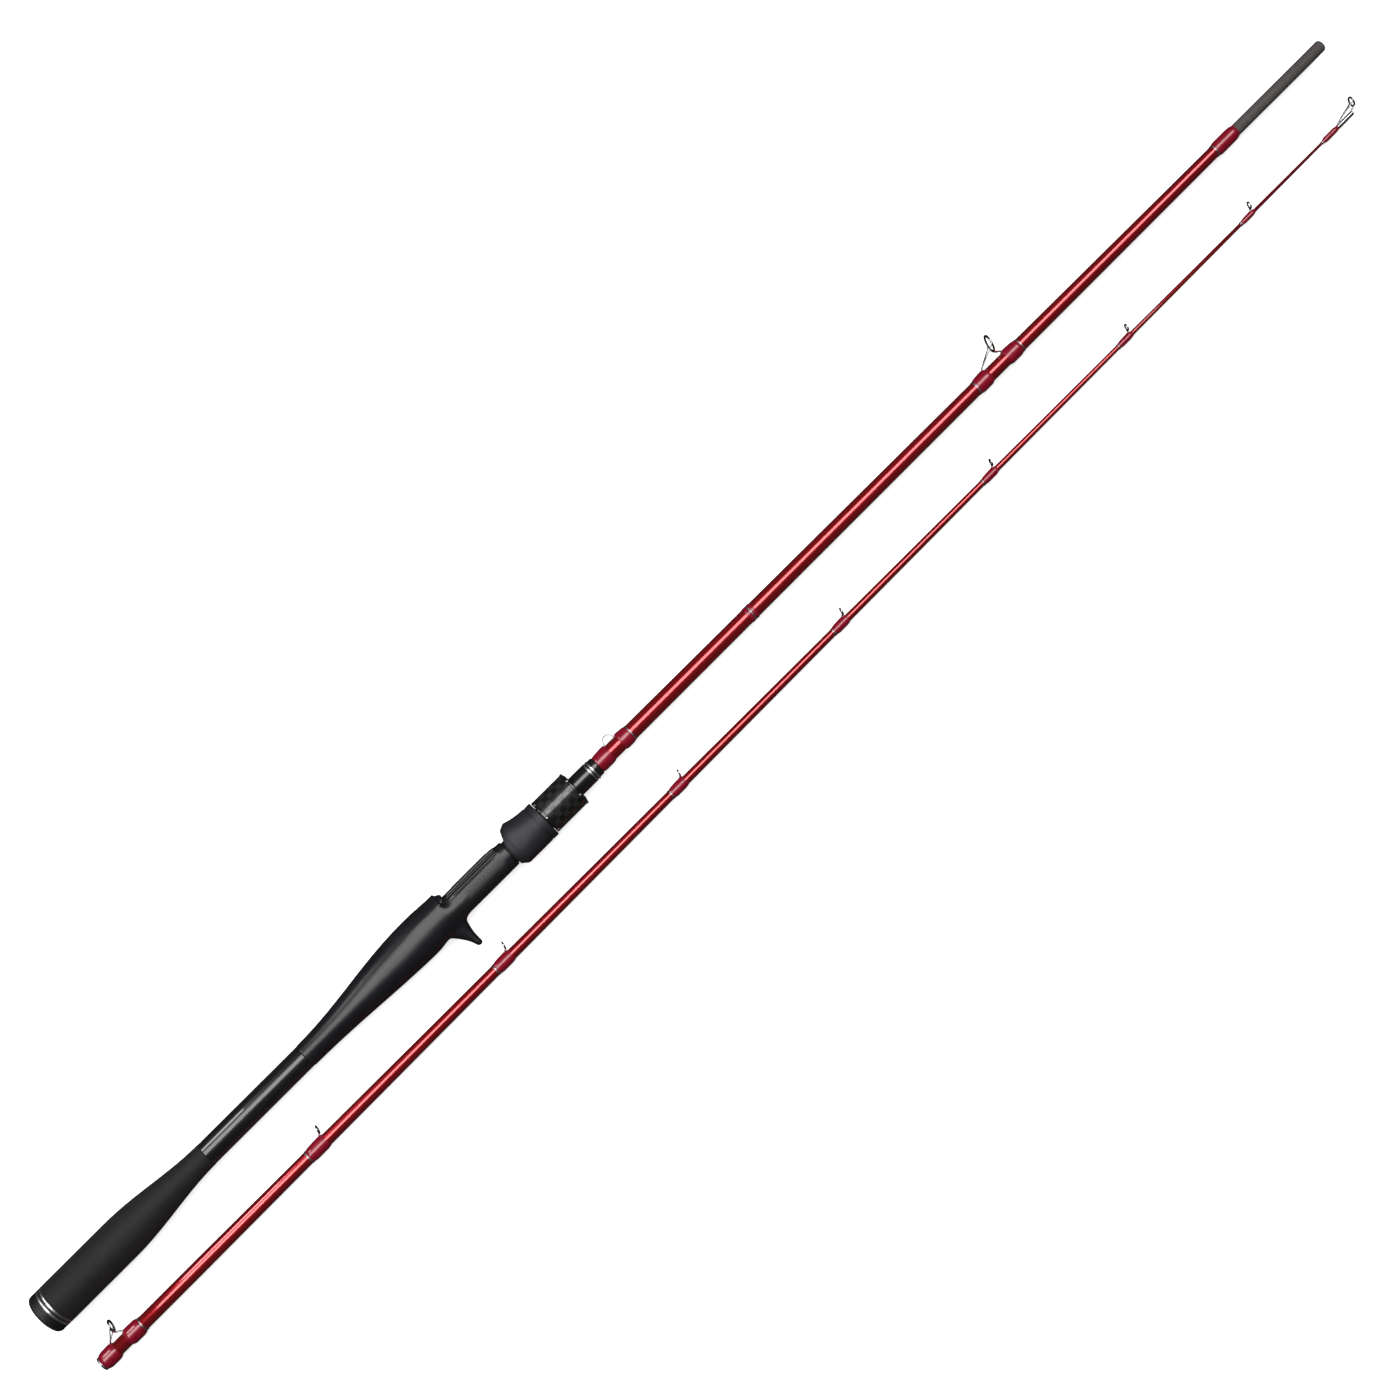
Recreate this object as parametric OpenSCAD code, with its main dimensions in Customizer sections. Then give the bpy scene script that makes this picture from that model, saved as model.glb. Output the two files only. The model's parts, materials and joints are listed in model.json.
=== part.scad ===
// Two-piece casting rod lying on its side, with its tip section beside the butt section.
// Millimetres. X runs from the butt to the tip, Y is the side of the reel and the guides,
// Z is up. The origin is the centre of the butt cap's end face.

/* [Butt section] */
// Length from the butt cap to the end of the bare ferrule
butt_length = 1275; // [1050:1:1550]
// Outside diameter of the blank inside the handle
handle_blank_d = 14; // [13.4:0.1:14.2]
// Outside diameter of the blank just in front of the handle
fore_blank_d = 12.4; // [11.8:0.1:12.8]
// Outside diameter of the blank at the butt guide
guide_blank_d = 10.6; // [10.2:0.1:11.6]
// Outside diameter of the blank where the bare ferrule begins
end_blank_d = 9.2; // [9:0.1:10]
// Wall of the blank
blank_wall = 1.4; // [0.8:0.1:1.8]

/* [Joint between the sections] */
// Outside diameter of the bare male ferrule
ferrule_d = 9.2; // [7.6:0.05:9.4]
// Length of the bare male ferrule
ferrule_length = 92.5; // [60:0.5:110]
// Depth of the socket in the tip section
socket_depth = 89; // [55:1:100]
// Radial clearance between ferrule and socket
ferrule_clearance = 0.04; // [0.02:0.01:0.1]

/* [Tip section] */
// Length of the tip section, from its socket to the outer edge of the tip-top ring
tip_length = 1268; // [1040:1:1530]
// Outside diameter around the socket
socket_d = 10.4; // [10.3:0.1:12]
// Outside diameter of the blank inside the tip top
tip_d = 1.9; // [1.6:0.1:2.3]
// Wall of the tip section's hollow part
tip_wall = 0.8; // [0.6:0.1:1]
// Distance between the axes of the two sections
section_gap = 51.2; // [46:0.2:80]
// How far the socket end stands in front of the butt cap
socket_end_x = 1.5; // [0:0.5:60]

/* [Rear grip and butt cap] */
// Diameter of the rear grip
grip_d = 31.8; // [26:0.2:37]
// Where the rear grip ends
grip_end = 152.5; // [130:0.5:185]
// Length of the grip's tapered front
grip_taper = 82; // [60:1:95]
// Length of the butt cap behind the trim rings
cap_length = 7.5; // [5:0.5:11]
// Radius of the rounding on the butt cap
cap_round = 2.5; // [1:0.5:4]
// Width of each trim ring
trim_ring_w = 1.7; // [1:0.1:2.5]
// Space between the two trim rings
trim_gap = 1.3; // [0.6:0.1:2]
// Outside diameter of the gloss tube
tube_d = 18; // [17:0.1:19]

/* [Reel seat] */
// Where the moulded reel seat begins
seat_start = 246; // [215:1:290]
// Length of the flared grip, from its start to the mouth of the fixed hood
flare_length = 138.5; // [118:0.5:166]
// Height of the fixed hood on the reel side of the axis
hood_rise = 18.5; // [18:0.1:21]
// Depth of the palm swell on the trigger side of the axis
palm_drop = 14.4; // [12.5:0.1:17]
// Half of the seat's width at the palm swell
palm_half_w = 14.6; // [13.8:0.1:17]
// Length of the deck between the fixed hood and the sliding hood
deck_length = 58.5; // [52:0.5:70]
// Height of the deck above the axis
deck_rise = 11.5; // [11:0.1:13.4]
// Half of the deck's width
deck_half_w = 9.2; // [8.6:0.1:9.3]
// Depth of the deck's underside below the axis
deck_drop = 10.2; // [9.6:0.1:10.3]
// Depth of the pocket in the fixed hood
pocket_depth = 18; // [14:1:24]
// Clear height of both hoods' pockets above the deck
pocket_clear = 2.8; // [2:0.1:3]
// Reach of the trigger below the axis
trigger_reach = 31.2; // [26:0.1:38]
// Diameter of the seat's threaded barrel
thread_d = 19.2; // [18.6:0.1:19.4]
// Radial running clearance of the hood and the nut on the barrel
thread_clearance = 0.06; // [0.03:0.01:0.1]

/* [Sliding hood and lock nut] */
// Length of the sliding hood
hood_length = 33.5; // [30:0.5:40]
// Highest point of the sliding hood above the axis
hood_peak = 18; // [17.4:0.1:20]
// Radius of the sliding hood at its front
hood_r = 14.9; // [13.8:0.1:17]
// Travel of the hood from fully open to closed on a reel foot
hood_travel = 16; // [13:0.5:18]
// Length of the lock nut with its two end rings
nut_length = 30.7; // [26:0.1:37]
// Diameter of the lock nut
nut_d = 27.7; // [25:0.1:32]
// Width of each end ring of the nut
end_ring_w = 2.6; // [2:0.1:3.2]
// Number of studs round each end ring
stud_count = 6; // [4:1:9]
// Diameter of a stud
stud_d = 1.5; // [0.8:0.1:1.8]

/* [Winding check and hook keeper] */
// Diameter of the winding check in front of the nut
check_d = 15.5; // [14.2:0.1:17]
// Length of the winding check
check_length = 21.6; // [17:0.1:26]
// Length of the two wraps over the hook keeper's feet, with the gap between them
keeper_wrap_length = 33; // [26:1:40]
// Outer radius of the hook keeper's loop
keeper_r = 4.7; // [3.6:0.1:5.6]
// Diameter of the hook keeper's wire
keeper_wire = 1; // [0.8:0.1:1.4]

/* [Guides] */
// Distance from the butt guide's ring to the end of the ferrule
butt_guide_back = 333.5; // [270:0.5:395]
// Outside diameter of the butt guide's ring
butt_ring_d = 14.2; // [12:0.1:17]
// Height of the butt guide's ring centre above the blank's axis
butt_ring_rise = 16.1; // [14:0.1:19]
// Outside diameter of the first tip-section guide's ring
first_ring_d = 10; // [8.4:0.1:12]
// Height of that ring's centre above the blank's axis
first_ring_rise = 14.1; // [12:0.1:16]
// Distance from the socket end to the first guide's ring
first_guide_in = 22; // [22:0.5:28]
// Lean of every ring towards the tip, in degrees
ring_lean = 14; // [0:1:20]
// Depth of a ring's metal frame along the line
ring_depth = 1.3; // [0.8:0.1:1.8]
// Thickness of thread and varnish over a guide foot
wrap_cover = 0.35; // [0.2:0.05:0.6]
// Width of a silver thread band
band_w = 1.2; // [0.8:0.1:2]

/* [Hidden] */
// Relative spacing of the rings from the first guide to the tip top
guide_gaps = [190, 178.5, 171, 162.6, 152.4, 140.6, 129.1, 110];
// Outside diameter of each small ring and its top's height above the blank's surface
small_ring_d = [7, 6.6, 6.2, 6, 6, 6, 6];
small_ring_rise = [8, 7.4, 6.5, 6.5, 6.8, 7, 7.2];
// Length of each small guide's foot
small_foot = [14, 12.5, 11.5, 11.5, 11.5, 11.5, 11.5];

$fn = 96;
bond = 0.02;
part_gap = 0.3;
sides = 48;

butt_r = handle_blank_d / 2;
bore_r = butt_r + 0.3;
trim_front = cap_length + 2 * trim_ring_w + trim_gap;
blank_start = 3;
ferrule_start = butt_length - ferrule_length;
mouth_x = seat_start + flare_length;
deck_end = mouth_x + deck_length;
barrel_r = thread_d / 2;
hood_start = deck_end + part_gap;
hood_end = hood_start + hood_length;
nut_start = hood_end + part_gap;
nut_end = nut_start + nut_length;
barrel_end = nut_end - 0.4;
check_end = nut_end + check_length;
keeper_end = check_end + keeper_wrap_length;
run_r = barrel_r + thread_clearance;
hood_bore_r = deck_drop + part_gap;
hood_pocket = hood_travel - 1;
bush_length = hood_length - hood_pocket - 1.5;
pocket_roof = deck_rise + pocket_clear;
butt_guide_x = butt_length - butt_guide_back;
tip_blank_length = tip_length - 11;
tip_y = -section_gap;
first_guide_x = socket_end_x + first_guide_in;
tip_ring_x = socket_end_x + tip_length - 4;
tip_tube_x = socket_end_x + tip_length - 25.5;

// Thickness of the guide feet, how far a small guide's leg stands behind its ring,
// and how far a front leg reaches into its ring before it is trimmed flush
foot_t = 0.8;
small_foot_t = 0.55;
small_set = 2.4;
leg_sink = 1.2;
// The tip section's thickest wraps, which set how high its axis lies
socket_wrap_t = foot_t + wrap_cover + 0.3;
tip_wrap_r = socket_d / 2 + socket_wrap_t + 0.05;
tip_z = tip_wrap_r - grip_d / 2;
// Insides of the two hoods
deck_power = 3;
hood_side_gap = part_gap + 0.4;
pocket_foot = 6;
liner_t = 0.5;
plate_x0 = mouth_x + 13;
plate_x1 = deck_end - 12;
// Where the wraps, feet and rings stand
keeper_x = check_end + 17.5;
trim_x = keeper_end + 116;
trim_wrap_w = 2.8;
ferrule_wrap_x = ferrule_start - 22.5;
butt_rear_x = butt_guide_x - 18;
butt_front_x = butt_guide_x + 2;
butt_wrap_back = butt_rear_x - 12.7;
butt_wrap_front = butt_front_x + 13.2;
core_r = nut_d / 2 - 1.1;
stud_depth = 0.9;
rear_stud_x = nut_start + end_ring_w / 2;
front_stud_x = nut_end - end_ring_w + 0.9;
socket_r = ferrule_d / 2 + ferrule_clearance;
hollow_end = tip_blank_length * 0.86;
first_x = first_guide_in;
first_rear_x = first_x - 8.5;
first_front_x = first_x + 3.2;
first_wrap_end = first_front_x + 12.5;
top_ring_d = 8.2;
top_ring_rise = 6.2;
top_x = tip_ring_x - socket_end_x;
top_tube_x = tip_tube_x - socket_end_x;
top_wrap_x = top_tube_x - 10;
top_tube_r = tip_d / 2 + 0.55;
top_tube_end = tip_blank_length + 1;

function sum_of(list, n) = n <= 0 ? 0 : list[n - 1] + sum_of(list, n - 1);
function small_guide_x(i) = first_guide_x
    + (tip_ring_x - first_guide_x) * sum_of(guide_gaps, i + 1) / sum_of(guide_gaps, len(guide_gaps));

// Outside radius of the butt section's blank at x
function butt_blank_r(x) = lookup(x, [
    [blank_start, butt_r], [seat_start, butt_r - 0.1], [check_end, fore_blank_d / 2],
    [butt_guide_x, guide_blank_d / 2], [ferrule_start, end_blank_d / 2], [butt_length, end_blank_d / 2]]);

// Outside radius of the tip section's blank, at a distance along it
function tip_blank_r(d) = lookup(d, [
    [0, socket_d / 2], [socket_depth + 4, socket_d / 2], [tip_blank_length, tip_d / 2]]);

butt_skin = function(x) butt_blank_r(x);
tip_skin = function(x) tip_blank_r(x);

function ease(t) = 0.5 - 0.5 * cos(180 * min(1, max(0, t)));

function span(x0, x1, n) = [for (i = [0 : n]) x0 + (x1 - x0) * i / n];

// One point of an outline that is high hi, deep lo and half_w wide, squarer as power grows
function oval(a, hi, lo, half_w, power) = [
    sign(sin(a)) * pow(abs(sin(a)), 2 / power) * (sin(a) > 0 ? hi : lo),
    sign(cos(a)) * pow(abs(cos(a)), 2 / power) * half_w];

function outline(hi, lo, half_w, power) =
    [for (i = [0 : sides - 1]) oval(360 * i / sides, hi, lo, half_w, power)];

// A solid of revolution about the X axis, from [x, radius] corners
module turned(corners) {
    rotate([0, 90, 0]) rotate_extrude() polygon([for (c = corners) [c[1], c[0]]]);
}

// A tube about the X axis
module tube(x0, x1, r_out, r_in) {
    turned([[x0, r_in], [x0, r_out], [x1, r_out], [x1, r_in]]);
}

// A prism along X with an oval outline in Y and Z
module prism(x0, x1, hi, lo, half_w, power) {
    translate([x0, 0, 0]) rotate([90, 0, 90]) linear_extrude(x1 - x0)
        polygon([for (p = outline(hi, lo, half_w, power)) [p[0], p[1]]]);
}

// A skin through oval rings; each ring is [x, hi, lo, half_w, power]
module loft(rings) {
    n = len(rings);
    points = [for (r = rings) for (p = outline(r[1], r[2], r[3], r[4])) [r[0], p[0], p[1]]];
    quads = [for (k = [0 : n - 2]) for (i = [0 : sides - 1])
        let (a = k * sides + i, b = k * sides + (i + 1) % sides) [a, b, b + sides, a + sides]];
    first = [for (i = [sides - 1 : -1 : 0]) i];
    last = [for (i = [0 : sides - 1]) (n - 1) * sides + i];
    polyhedron(points, concat([first], quads, [last]), convexity = 8);
}

// A round rod between two points
module strut(a, b, r) {
    d = b - a;
    translate(a) rotate([0, acos(d[2] / norm(d)), atan2(d[1], d[0])]) cylinder(r = r, h = norm(d), $fn = 24);
}

// Turns a guide that stands up along Z on its side, and moves it to the tip section if asked
module on_butt() { rotate([-90, 0, 0]) children(); }
module on_tip() { translate([socket_end_x, tip_y, tip_z]) children(); }

// Thread and varnish over the blank, rounded at both ends
module wrap_skin(list_r, x0, x1, cover) {
    over = [for (x = span(x0, x1, 12)) let (t = (x - x0) / (x1 - x0))
        [x, list_r(x) + bond + 0.12 + (cover - 0.12) * pow(max(0, 1 - pow(abs(2 * t - 1), 3)), 0.7)]];
    under = [for (x = span(x1, x0, 12)) [x, list_r(x) + bond]];
    turned(concat(over, under));
}

module band(list_r, x0) {
    r = max(list_r(x0), list_r(x0 + band_w));
    tube(x0, x0 + band_w, r + 0.34, r + bond);
}

// The metal ring of a guide, standing at the origin with its axis along X
module ring_frame(od, depth) {
    r = od / 2;
    wall = ring_wall(od);
    rotate([0, 90, 0]) rotate_extrude() polygon([
        [r - wall, -depth / 2], [r - 0.25, -depth / 2], [r, -depth / 2 + 0.25],
        [r, depth / 2 - 0.25], [r - 0.25, depth / 2], [r - wall, depth / 2]]);
}

// The hard insert inside that ring
module ring_insert(od, depth) {
    r = od / 2 - ring_wall(od) - bond;
    t = insert_wall(od);
    rotate([0, 90, 0]) rotate_extrude() polygon([
        [r, -depth / 2 - 0.1], [r, depth / 2 + 0.1], [r - 0.6 * t, depth / 2 + 0.1],
        [r - t, depth / 4], [r - t, -depth / 4], [r - 0.6 * t, -depth / 2 - 0.1]]);
}

// Keeps legs out of the space the insert fills
module insert_space(od, depth) {
    rotate([0, 90, 0]) cylinder(r = od / 2 - ring_wall(od), h = depth + 1.6, center = true);
}

function ring_wall(od) = 0.35 + od * 0.04;
function insert_wall(od) = 0.35 + od * 0.05;

// Places a ring with its centre at [x, rise] and its lean
module ring_place(x, rise) {
    translate([x, 0, rise]) rotate([0, ring_lean, 0]) children();
}

// A guide foot that lies on the blank; it thins towards its end
module foot(x0, x1, base, thick, width) {
    rotate([90, 0, 0]) translate([0, 0, -width / 2]) linear_extrude(width)
        polygon([[x0, base], [x1, base], [x1, base + thick], [x0, base + 0.35 * thick]]);
}

// Two-footed guide: two legs from the ring's sides to the rear foot, and one leg to the front foot
module double_foot_frame(od, x, rise, rear, front, rear_end, front_end, base, wire) {
    r = od / 2 - 0.2;
    low = [x - (r - leg_sink) * sin(ring_lean), 0, rise - (r - leg_sink) * cos(ring_lean)];
    toe = base + foot_t - 0.1;
    difference() {
        union() {
            ring_place(x, rise) ring_frame(od, ring_depth);
            for (s = [-1, 1]) strut([rear, s * 0.7, toe], [x, s * r, rise], wire / 2);
            for (s = [-1, 1]) strut([front, s * 0.6, toe], low + [0, s * 0.6, 0], wire / 2);
        }
        ring_place(x, rise) insert_space(od, ring_depth);
    }
    translate([rear, 0, toe - 0.25]) cube([wire, 2.4, foot_t], center = true);
    translate([front, 0, toe - 0.25]) cube([wire, 2.2, foot_t], center = true);
    foot(rear_end, rear + wire / 2, base, foot_t, 2.6);
    foot(front_end, front - wire / 2, base, foot_t, 2.6);
}

// One-footed guide: two legs from the ring's sides to the front of its foot
module single_foot_frame(od, x, rise, foot_length, base) {
    leg = 0.9;
    r = od / 2 - 0.15;
    difference() {
        union() {
            ring_place(x, rise) ring_frame(od, 1);
            for (s = [-1, 1])
                strut([x - small_set, s * 0.45, base + small_foot_t - 0.1],
                    [x - 0.6, s * r * 0.8, rise - r * 0.6], leg / 2);
        }
        ring_place(x, rise) insert_space(od, 1);
    }
    translate([x - small_set, 0, base + small_foot_t / 2]) cube([leg, 1.8, small_foot_t], center = true);
    foot(x - small_set - foot_length, x - small_set + leg / 2, base, small_foot_t, 1.8);
}

function small_base(i) = tip_blank_r(small_x(i) - small_set - small_foot[i]) + 2 * bond;
function small_x(i) = small_guide_x(i) - socket_end_x;
function small_rise(i) = tip_blank_r(small_x(i)) + small_ring_rise[i] - small_ring_d[i] / 2;

// ---- Handle ----

module butt_cap() {
    neck_r = grip_d / 2 - 1.2;
    shoulder = [for (a = [0 : 15 : 90])
        [cap_round * (1 - sin(a)), grip_d / 2 - 0.2 - cap_round * (1 - cos(a))]];
    rim = [for (i = [len(shoulder) - 1 : -1 : 0]) shoulder[i]];
    color("black") turned(concat(
        [[0, 0]], rim,
        [[cap_length, grip_d / 2 - 0.2], [cap_length, neck_r], [trim_front, neck_r],
         [trim_front, butt_r + bond], [blank_start - bond, butt_r + bond], [blank_start - bond, 0]]));
}

module butt_plug() {
    plug_r = butt_r - blank_wall - 2 * bond;
    color("dimgray") turned([
        [blank_start, 0], [blank_start, plug_r], [blank_start + 22, plug_r],
        [blank_start + 24, plug_r - 1.5], [blank_start + 24, 0]]);
}

module trim_ring(x0) {
    r = grip_d / 2;
    turned([[x0, r - 1.2 + bond], [x0, r - 0.3], [x0 + 0.3, r], [x0 + trim_ring_w - 0.3, r],
        [x0 + trim_ring_w, r - 0.3], [x0 + trim_ring_w, r - 1.2 + bond]]);
}

module trim_rings() {
    color("silver") for (k = [0, 1]) trim_ring(cap_length + k * (trim_ring_w + trim_gap));
}

module rear_grip() {
    r = grip_d / 2;
    top = [for (t = [0 : 1 / 16 : 1]) [grip_end - grip_taper * (1 - t), r - (r - tube_d / 2) * ease(t)]];
    color("black") turned(concat(
        [[trim_front, butt_r + bond], [trim_front, r - 0.6], [trim_front + 1.2, r - 0.05], [trim_front + 4, r]],
        top, [[grip_end, butt_r + bond]]));
}

module gloss_tube() {
    color("black") tube(grip_end + bond, seat_start - bond, tube_d / 2, bore_r);
}

module arbors() {
    color("tan") {
        tube(grip_end + 4, grip_end + 24, bore_r - bond, butt_r + bond);
        tube(seat_start - 20, seat_start + 20, bore_r - bond, butt_r + bond);
        tube(mouth_x + 4, mouth_x + 24, bore_r - bond, butt_r + bond);
    }
}

// ---- Reel seat ----

// Rings of the flared grip from its start to the fixed hood's mouth
module flare() {
    top_end = seat_start + 0.8 * flare_length;
    swell_x = seat_start + 0.9 * flare_length;
    loft([for (x = span(seat_start, mouth_x, 26)) let (
        start_r = tube_d / 2 + 0.35,
        up = ease((x - seat_start) / (top_end - seat_start)),
        down = ease((x - seat_start) / (swell_x - seat_start)),
        waist = ease((x - swell_x + 12) / (mouth_x - swell_x + 12)))
        [x, start_r + (hood_rise - start_r) * up - 1.0 * waist,
         start_r + (palm_drop - start_r) * down - (palm_drop - deck_drop - 1.2) * waist,
         start_r + (palm_half_w - start_r) * up - 1.4 * waist, 2 + 0.3 * up]]);
}

// The deck's cross-section carried from inside the fixed hood to the barrel
module deck() {
    slope = 5;
    high_end = deck_end - 9;
    loft(concat(
        [for (x = span(mouth_x - pocket_depth - 2, high_end, 4)) [x, deck_rise, deck_drop, deck_half_w, deck_power]],
        [for (x = span(high_end + 1, high_end + slope, 4)) let (t = ease((x - high_end) / slope))
            [x, deck_rise - (deck_rise - deck_drop - 0.3) * t, deck_drop, deck_half_w, deck_power - 0.7 * t]],
        [[deck_end, deck_drop, deck_drop, deck_half_w, deck_power - 0.7]]));
}

// The shoulder that carries the palm swell down into the deck, in front of the hood's mouth
module throat() {
    reach = 28;
    loft([for (x = span(mouth_x - 1, mouth_x + reach, 18))
        let (t = (x - mouth_x + 1) / (reach + 1), fade = pow(1 - t, 2.3))
        [x, 3.2 + 5.3 * pow(1 - t, 2), deck_drop - 0.4 + 1.5 * fade,
         deck_half_w - 0.35 + (palm_half_w - deck_half_w - 1.3) * fade, 2.3 + 0.5 * t]]);
}

// The arch inside the fixed hood's mouth, cut off on a slope down to the deck
module cheeks() {
    reach = 10;
    difference() {
        loft([for (t = [0 : 0.125 : 1])
            [mouth_x - 4 + (reach + 4) * t, hood_rise - 1 - (hood_rise - deck_rise - 1.1) * t, deck_drop - 0.8,
             deck_half_w + 1.8 - 1.6 * t, 3]]);
        fixed_pocket(mouth_x - 5, mouth_x + reach + 1, 0);
    }
}

// The trigger as oval rings that narrow from the body to its rounded tip
module trigger() {
    n = 14;
    ring_sides = 24;
    root = 9;
    top_x = mouth_x - 5;
    tip_x = mouth_x + 0.2;
    function finger_point(k, i) = let (
        t = k / n,
        waist = pow(1 - t, 2.6),
        tip_round = sqrt(max(0.02, 1 - pow(max(0, (t - 0.8) / 0.2), 2))),
        a = 360 * i / ring_sides)
        [top_x + (tip_x - top_x) * sin(90 * t) + (2.4 + 9 * waist) * tip_round * cos(a),
         -root - (trigger_reach - root) * (1 - pow(1 - t, 1.35)),
         (3.4 + 4.4 * waist) * tip_round * sin(a)];
    points = [for (k = [0 : n]) for (i = [0 : ring_sides - 1]) finger_point(k, i)];
    quads = [for (k = [0 : n - 1]) for (i = [0 : ring_sides - 1])
        let (a = k * ring_sides + i, b = k * ring_sides + (i + 1) % ring_sides)
        [a, a + ring_sides, b + ring_sides, b]];
    first = [for (i = [0 : ring_sides - 1]) i];
    last = [for (i = [ring_sides - 1 : -1 : 0]) n * ring_sides + i];
    polyhedron(points, concat([first], quads, [last]), convexity = 4);
}

// The arched pocket of the fixed hood, which the deck then partly fills
module fixed_pocket(x0, x1, grow) {
    difference() {
        prism(x0, x1, pocket_roof + grow, 2, deck_half_w + 1.4 + grow, 2.6);
        translate([x0 - 1, pocket_foot - 30, -20]) cube([x1 - x0 + 2, 30, 40]);
    }
}

module seat_body() {
    color("#1c1c1f") difference() {
        union() {
            difference() {
                flare();
                fixed_pocket(mouth_x - pocket_depth, mouth_x + 1, liner_t);
            }
            cheeks();
            deck();
            throat();
            trigger();
        }
        translate([seat_start - 1, 0, 0]) rotate([0, 90, 0])
            cylinder(r = bore_r, h = flare_length + deck_length + 2);
        plate_recess();
        translate([deck_end - 8, 0, 0]) rotate([0, 90, 0]) cylinder(r = barrel_r - 1 + bond, h = 9);
    }
}

module plate_recess() {
    translate([plate_x0, deck_rise - 1.4, -5]) cube([plate_x1 - plate_x0, 3, 10]);
}

module deck_plate() {
    color("#2a2a2e") intersection() {
        translate([plate_x0 + bond, deck_rise - 1.4 + bond, -5 + bond])
            cube([plate_x1 - plate_x0 - 2 * bond, 3, 10 - 2 * bond]);
        prism(plate_x0, plate_x1, deck_rise + 0.25, deck_drop, deck_half_w, deck_power);
    }
}

module fixed_hood_liner() {
    x0 = mouth_x - pocket_depth + bond;
    color("silver") difference() {
        fixed_pocket(x0, mouth_x - 4 - bond, liner_t - bond);
        fixed_pocket(x0 - 1, mouth_x + 2, 0);
        prism(x0 - 1, mouth_x + 2, deck_rise + bond, deck_drop, deck_half_w + bond, deck_power);
    }
}

module thread_barrel() {
    color("#202024") turned([
        [deck_end - 8 + bond, bore_r], [deck_end - 8 + bond, barrel_r - 1], [deck_end + bond, barrel_r - 1],
        [deck_end + bond, barrel_r], [barrel_end - 0.6, barrel_r], [barrel_end, barrel_r - 0.6],
        [barrel_end, bore_r]]);
}

module winding_check() {
    r = check_d / 2;
    front = check_end - 8;
    inner = butt_blank_r(barrel_end) + bond;
    color("black") turned([
        [barrel_end + bond, inner], [barrel_end + bond, r], [front, r], [front, r - 0.5],
        [check_end - bond, r - 0.5], [check_end - bond, inner]]);
}

module check_rings() {
    r = check_d / 2;
    color("silver") for (k = [0, 1])
        tube(check_end - 8 + bond + 2.4 * k, check_end - 6.6 + 2.4 * k, r + 0.1, r - 0.5 + bond);
}

// ---- Blank and what is bound to it ----

module butt_blank() {
    stations = [blank_start, seat_start, check_end, butt_guide_x, ferrule_start];
    outer = [for (x = stations) [x, butt_blank_r(x)]];
    inner = [for (i = [len(stations) - 1 : -1 : 0]) [stations[i], butt_blank_r(stations[i]) - blank_wall]];
    color("#b01820") turned(concat(outer, inner));
}

module male_ferrule() {
    tail_r = end_blank_d / 2 - blank_wall - bond;
    r = ferrule_d / 2;
    color("#4a4446") turned([
        [ferrule_start - 40, 0.8], [ferrule_start - 40, tail_r], [ferrule_start + bond, tail_r],
        [ferrule_start + bond, r], [butt_length - 1.5, r], [butt_length, r - 1.5], [butt_length, 0.8]]);
}

module keeper_loop(grow) {
    wire = keeper_wire / 2 + grow;
    base = butt_blank_r(keeper_x) + keeper_wire / 2 + bond;
    on_butt() translate([keeper_x, 0, base + 0.35]) rotate([90, 0, 0])
        rotate_extrude(angle = 180, $fn = 48) translate([keeper_r - keeper_wire / 2, 0])
            circle(r = wire, $fn = 24);
    on_butt() for (s = [-1, 1])
        strut([keeper_x + s * (keeper_r - keeper_wire / 2), 0, base + 0.4],
            [keeper_x + s * (keeper_r + 5), 0, base + 0.1], wire);
}

module hook_keeper() { color("silver") keeper_loop(0); }

module keeper_wraps() {
    color("#8c0a28") difference() {
        union() {
            wrap_skin(butt_skin, check_end, keeper_x - keeper_r - 0.4, 1.45);
            wrap_skin(butt_skin, keeper_x + keeper_r + 0.4, keeper_end - band_w, 1.45);
        }
        keeper_loop(bond);
    }
}

module trim_wrap() {
    color("#8c0a28") {
        wrap_skin(butt_skin, trim_x, trim_x + trim_wrap_w, 0.45);
        wrap_skin(butt_skin, trim_x + trim_wrap_w + band_w, trim_x + 2 * trim_wrap_w + band_w, 0.45);
    }
}

module ferrule_wrap() {
    color("#8c0a28") wrap_skin(butt_skin, ferrule_wrap_x + band_w, ferrule_start, 0.9);
}

module butt_guide_frame() {
    base = butt_blank_r(butt_wrap_back) + 2 * bond;
    color("silver") on_butt() double_foot_frame(butt_ring_d, butt_guide_x, butt_ring_rise,
        butt_rear_x, butt_front_x, butt_rear_x - 11.2, butt_front_x + 11.7, base, 1.3);
}

module butt_guide_ring() {
    color("gray") on_butt() ring_place(butt_guide_x, butt_ring_rise) ring_insert(butt_ring_d, ring_depth);
}

module butt_guide_wraps() {
    cover = foot_t + wrap_cover + 4 * bond;
    color("#8c0a28") difference() {
        union() {
            wrap_skin(butt_skin, butt_wrap_back + band_w, butt_rear_x + 1.5, cover);
            wrap_skin(butt_skin, butt_front_x - 1.5, butt_wrap_front - band_w, cover);
        }
        butt_guide_frame();
    }
}

module butt_bands() {
    color("silver") {
        for (x = [keeper_end - band_w, trim_x + trim_wrap_w, butt_wrap_back, butt_wrap_front - band_w, ferrule_wrap_x])
            band(butt_skin, x);
    }
}

// ---- Sliding hood and lock nut ----

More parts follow.
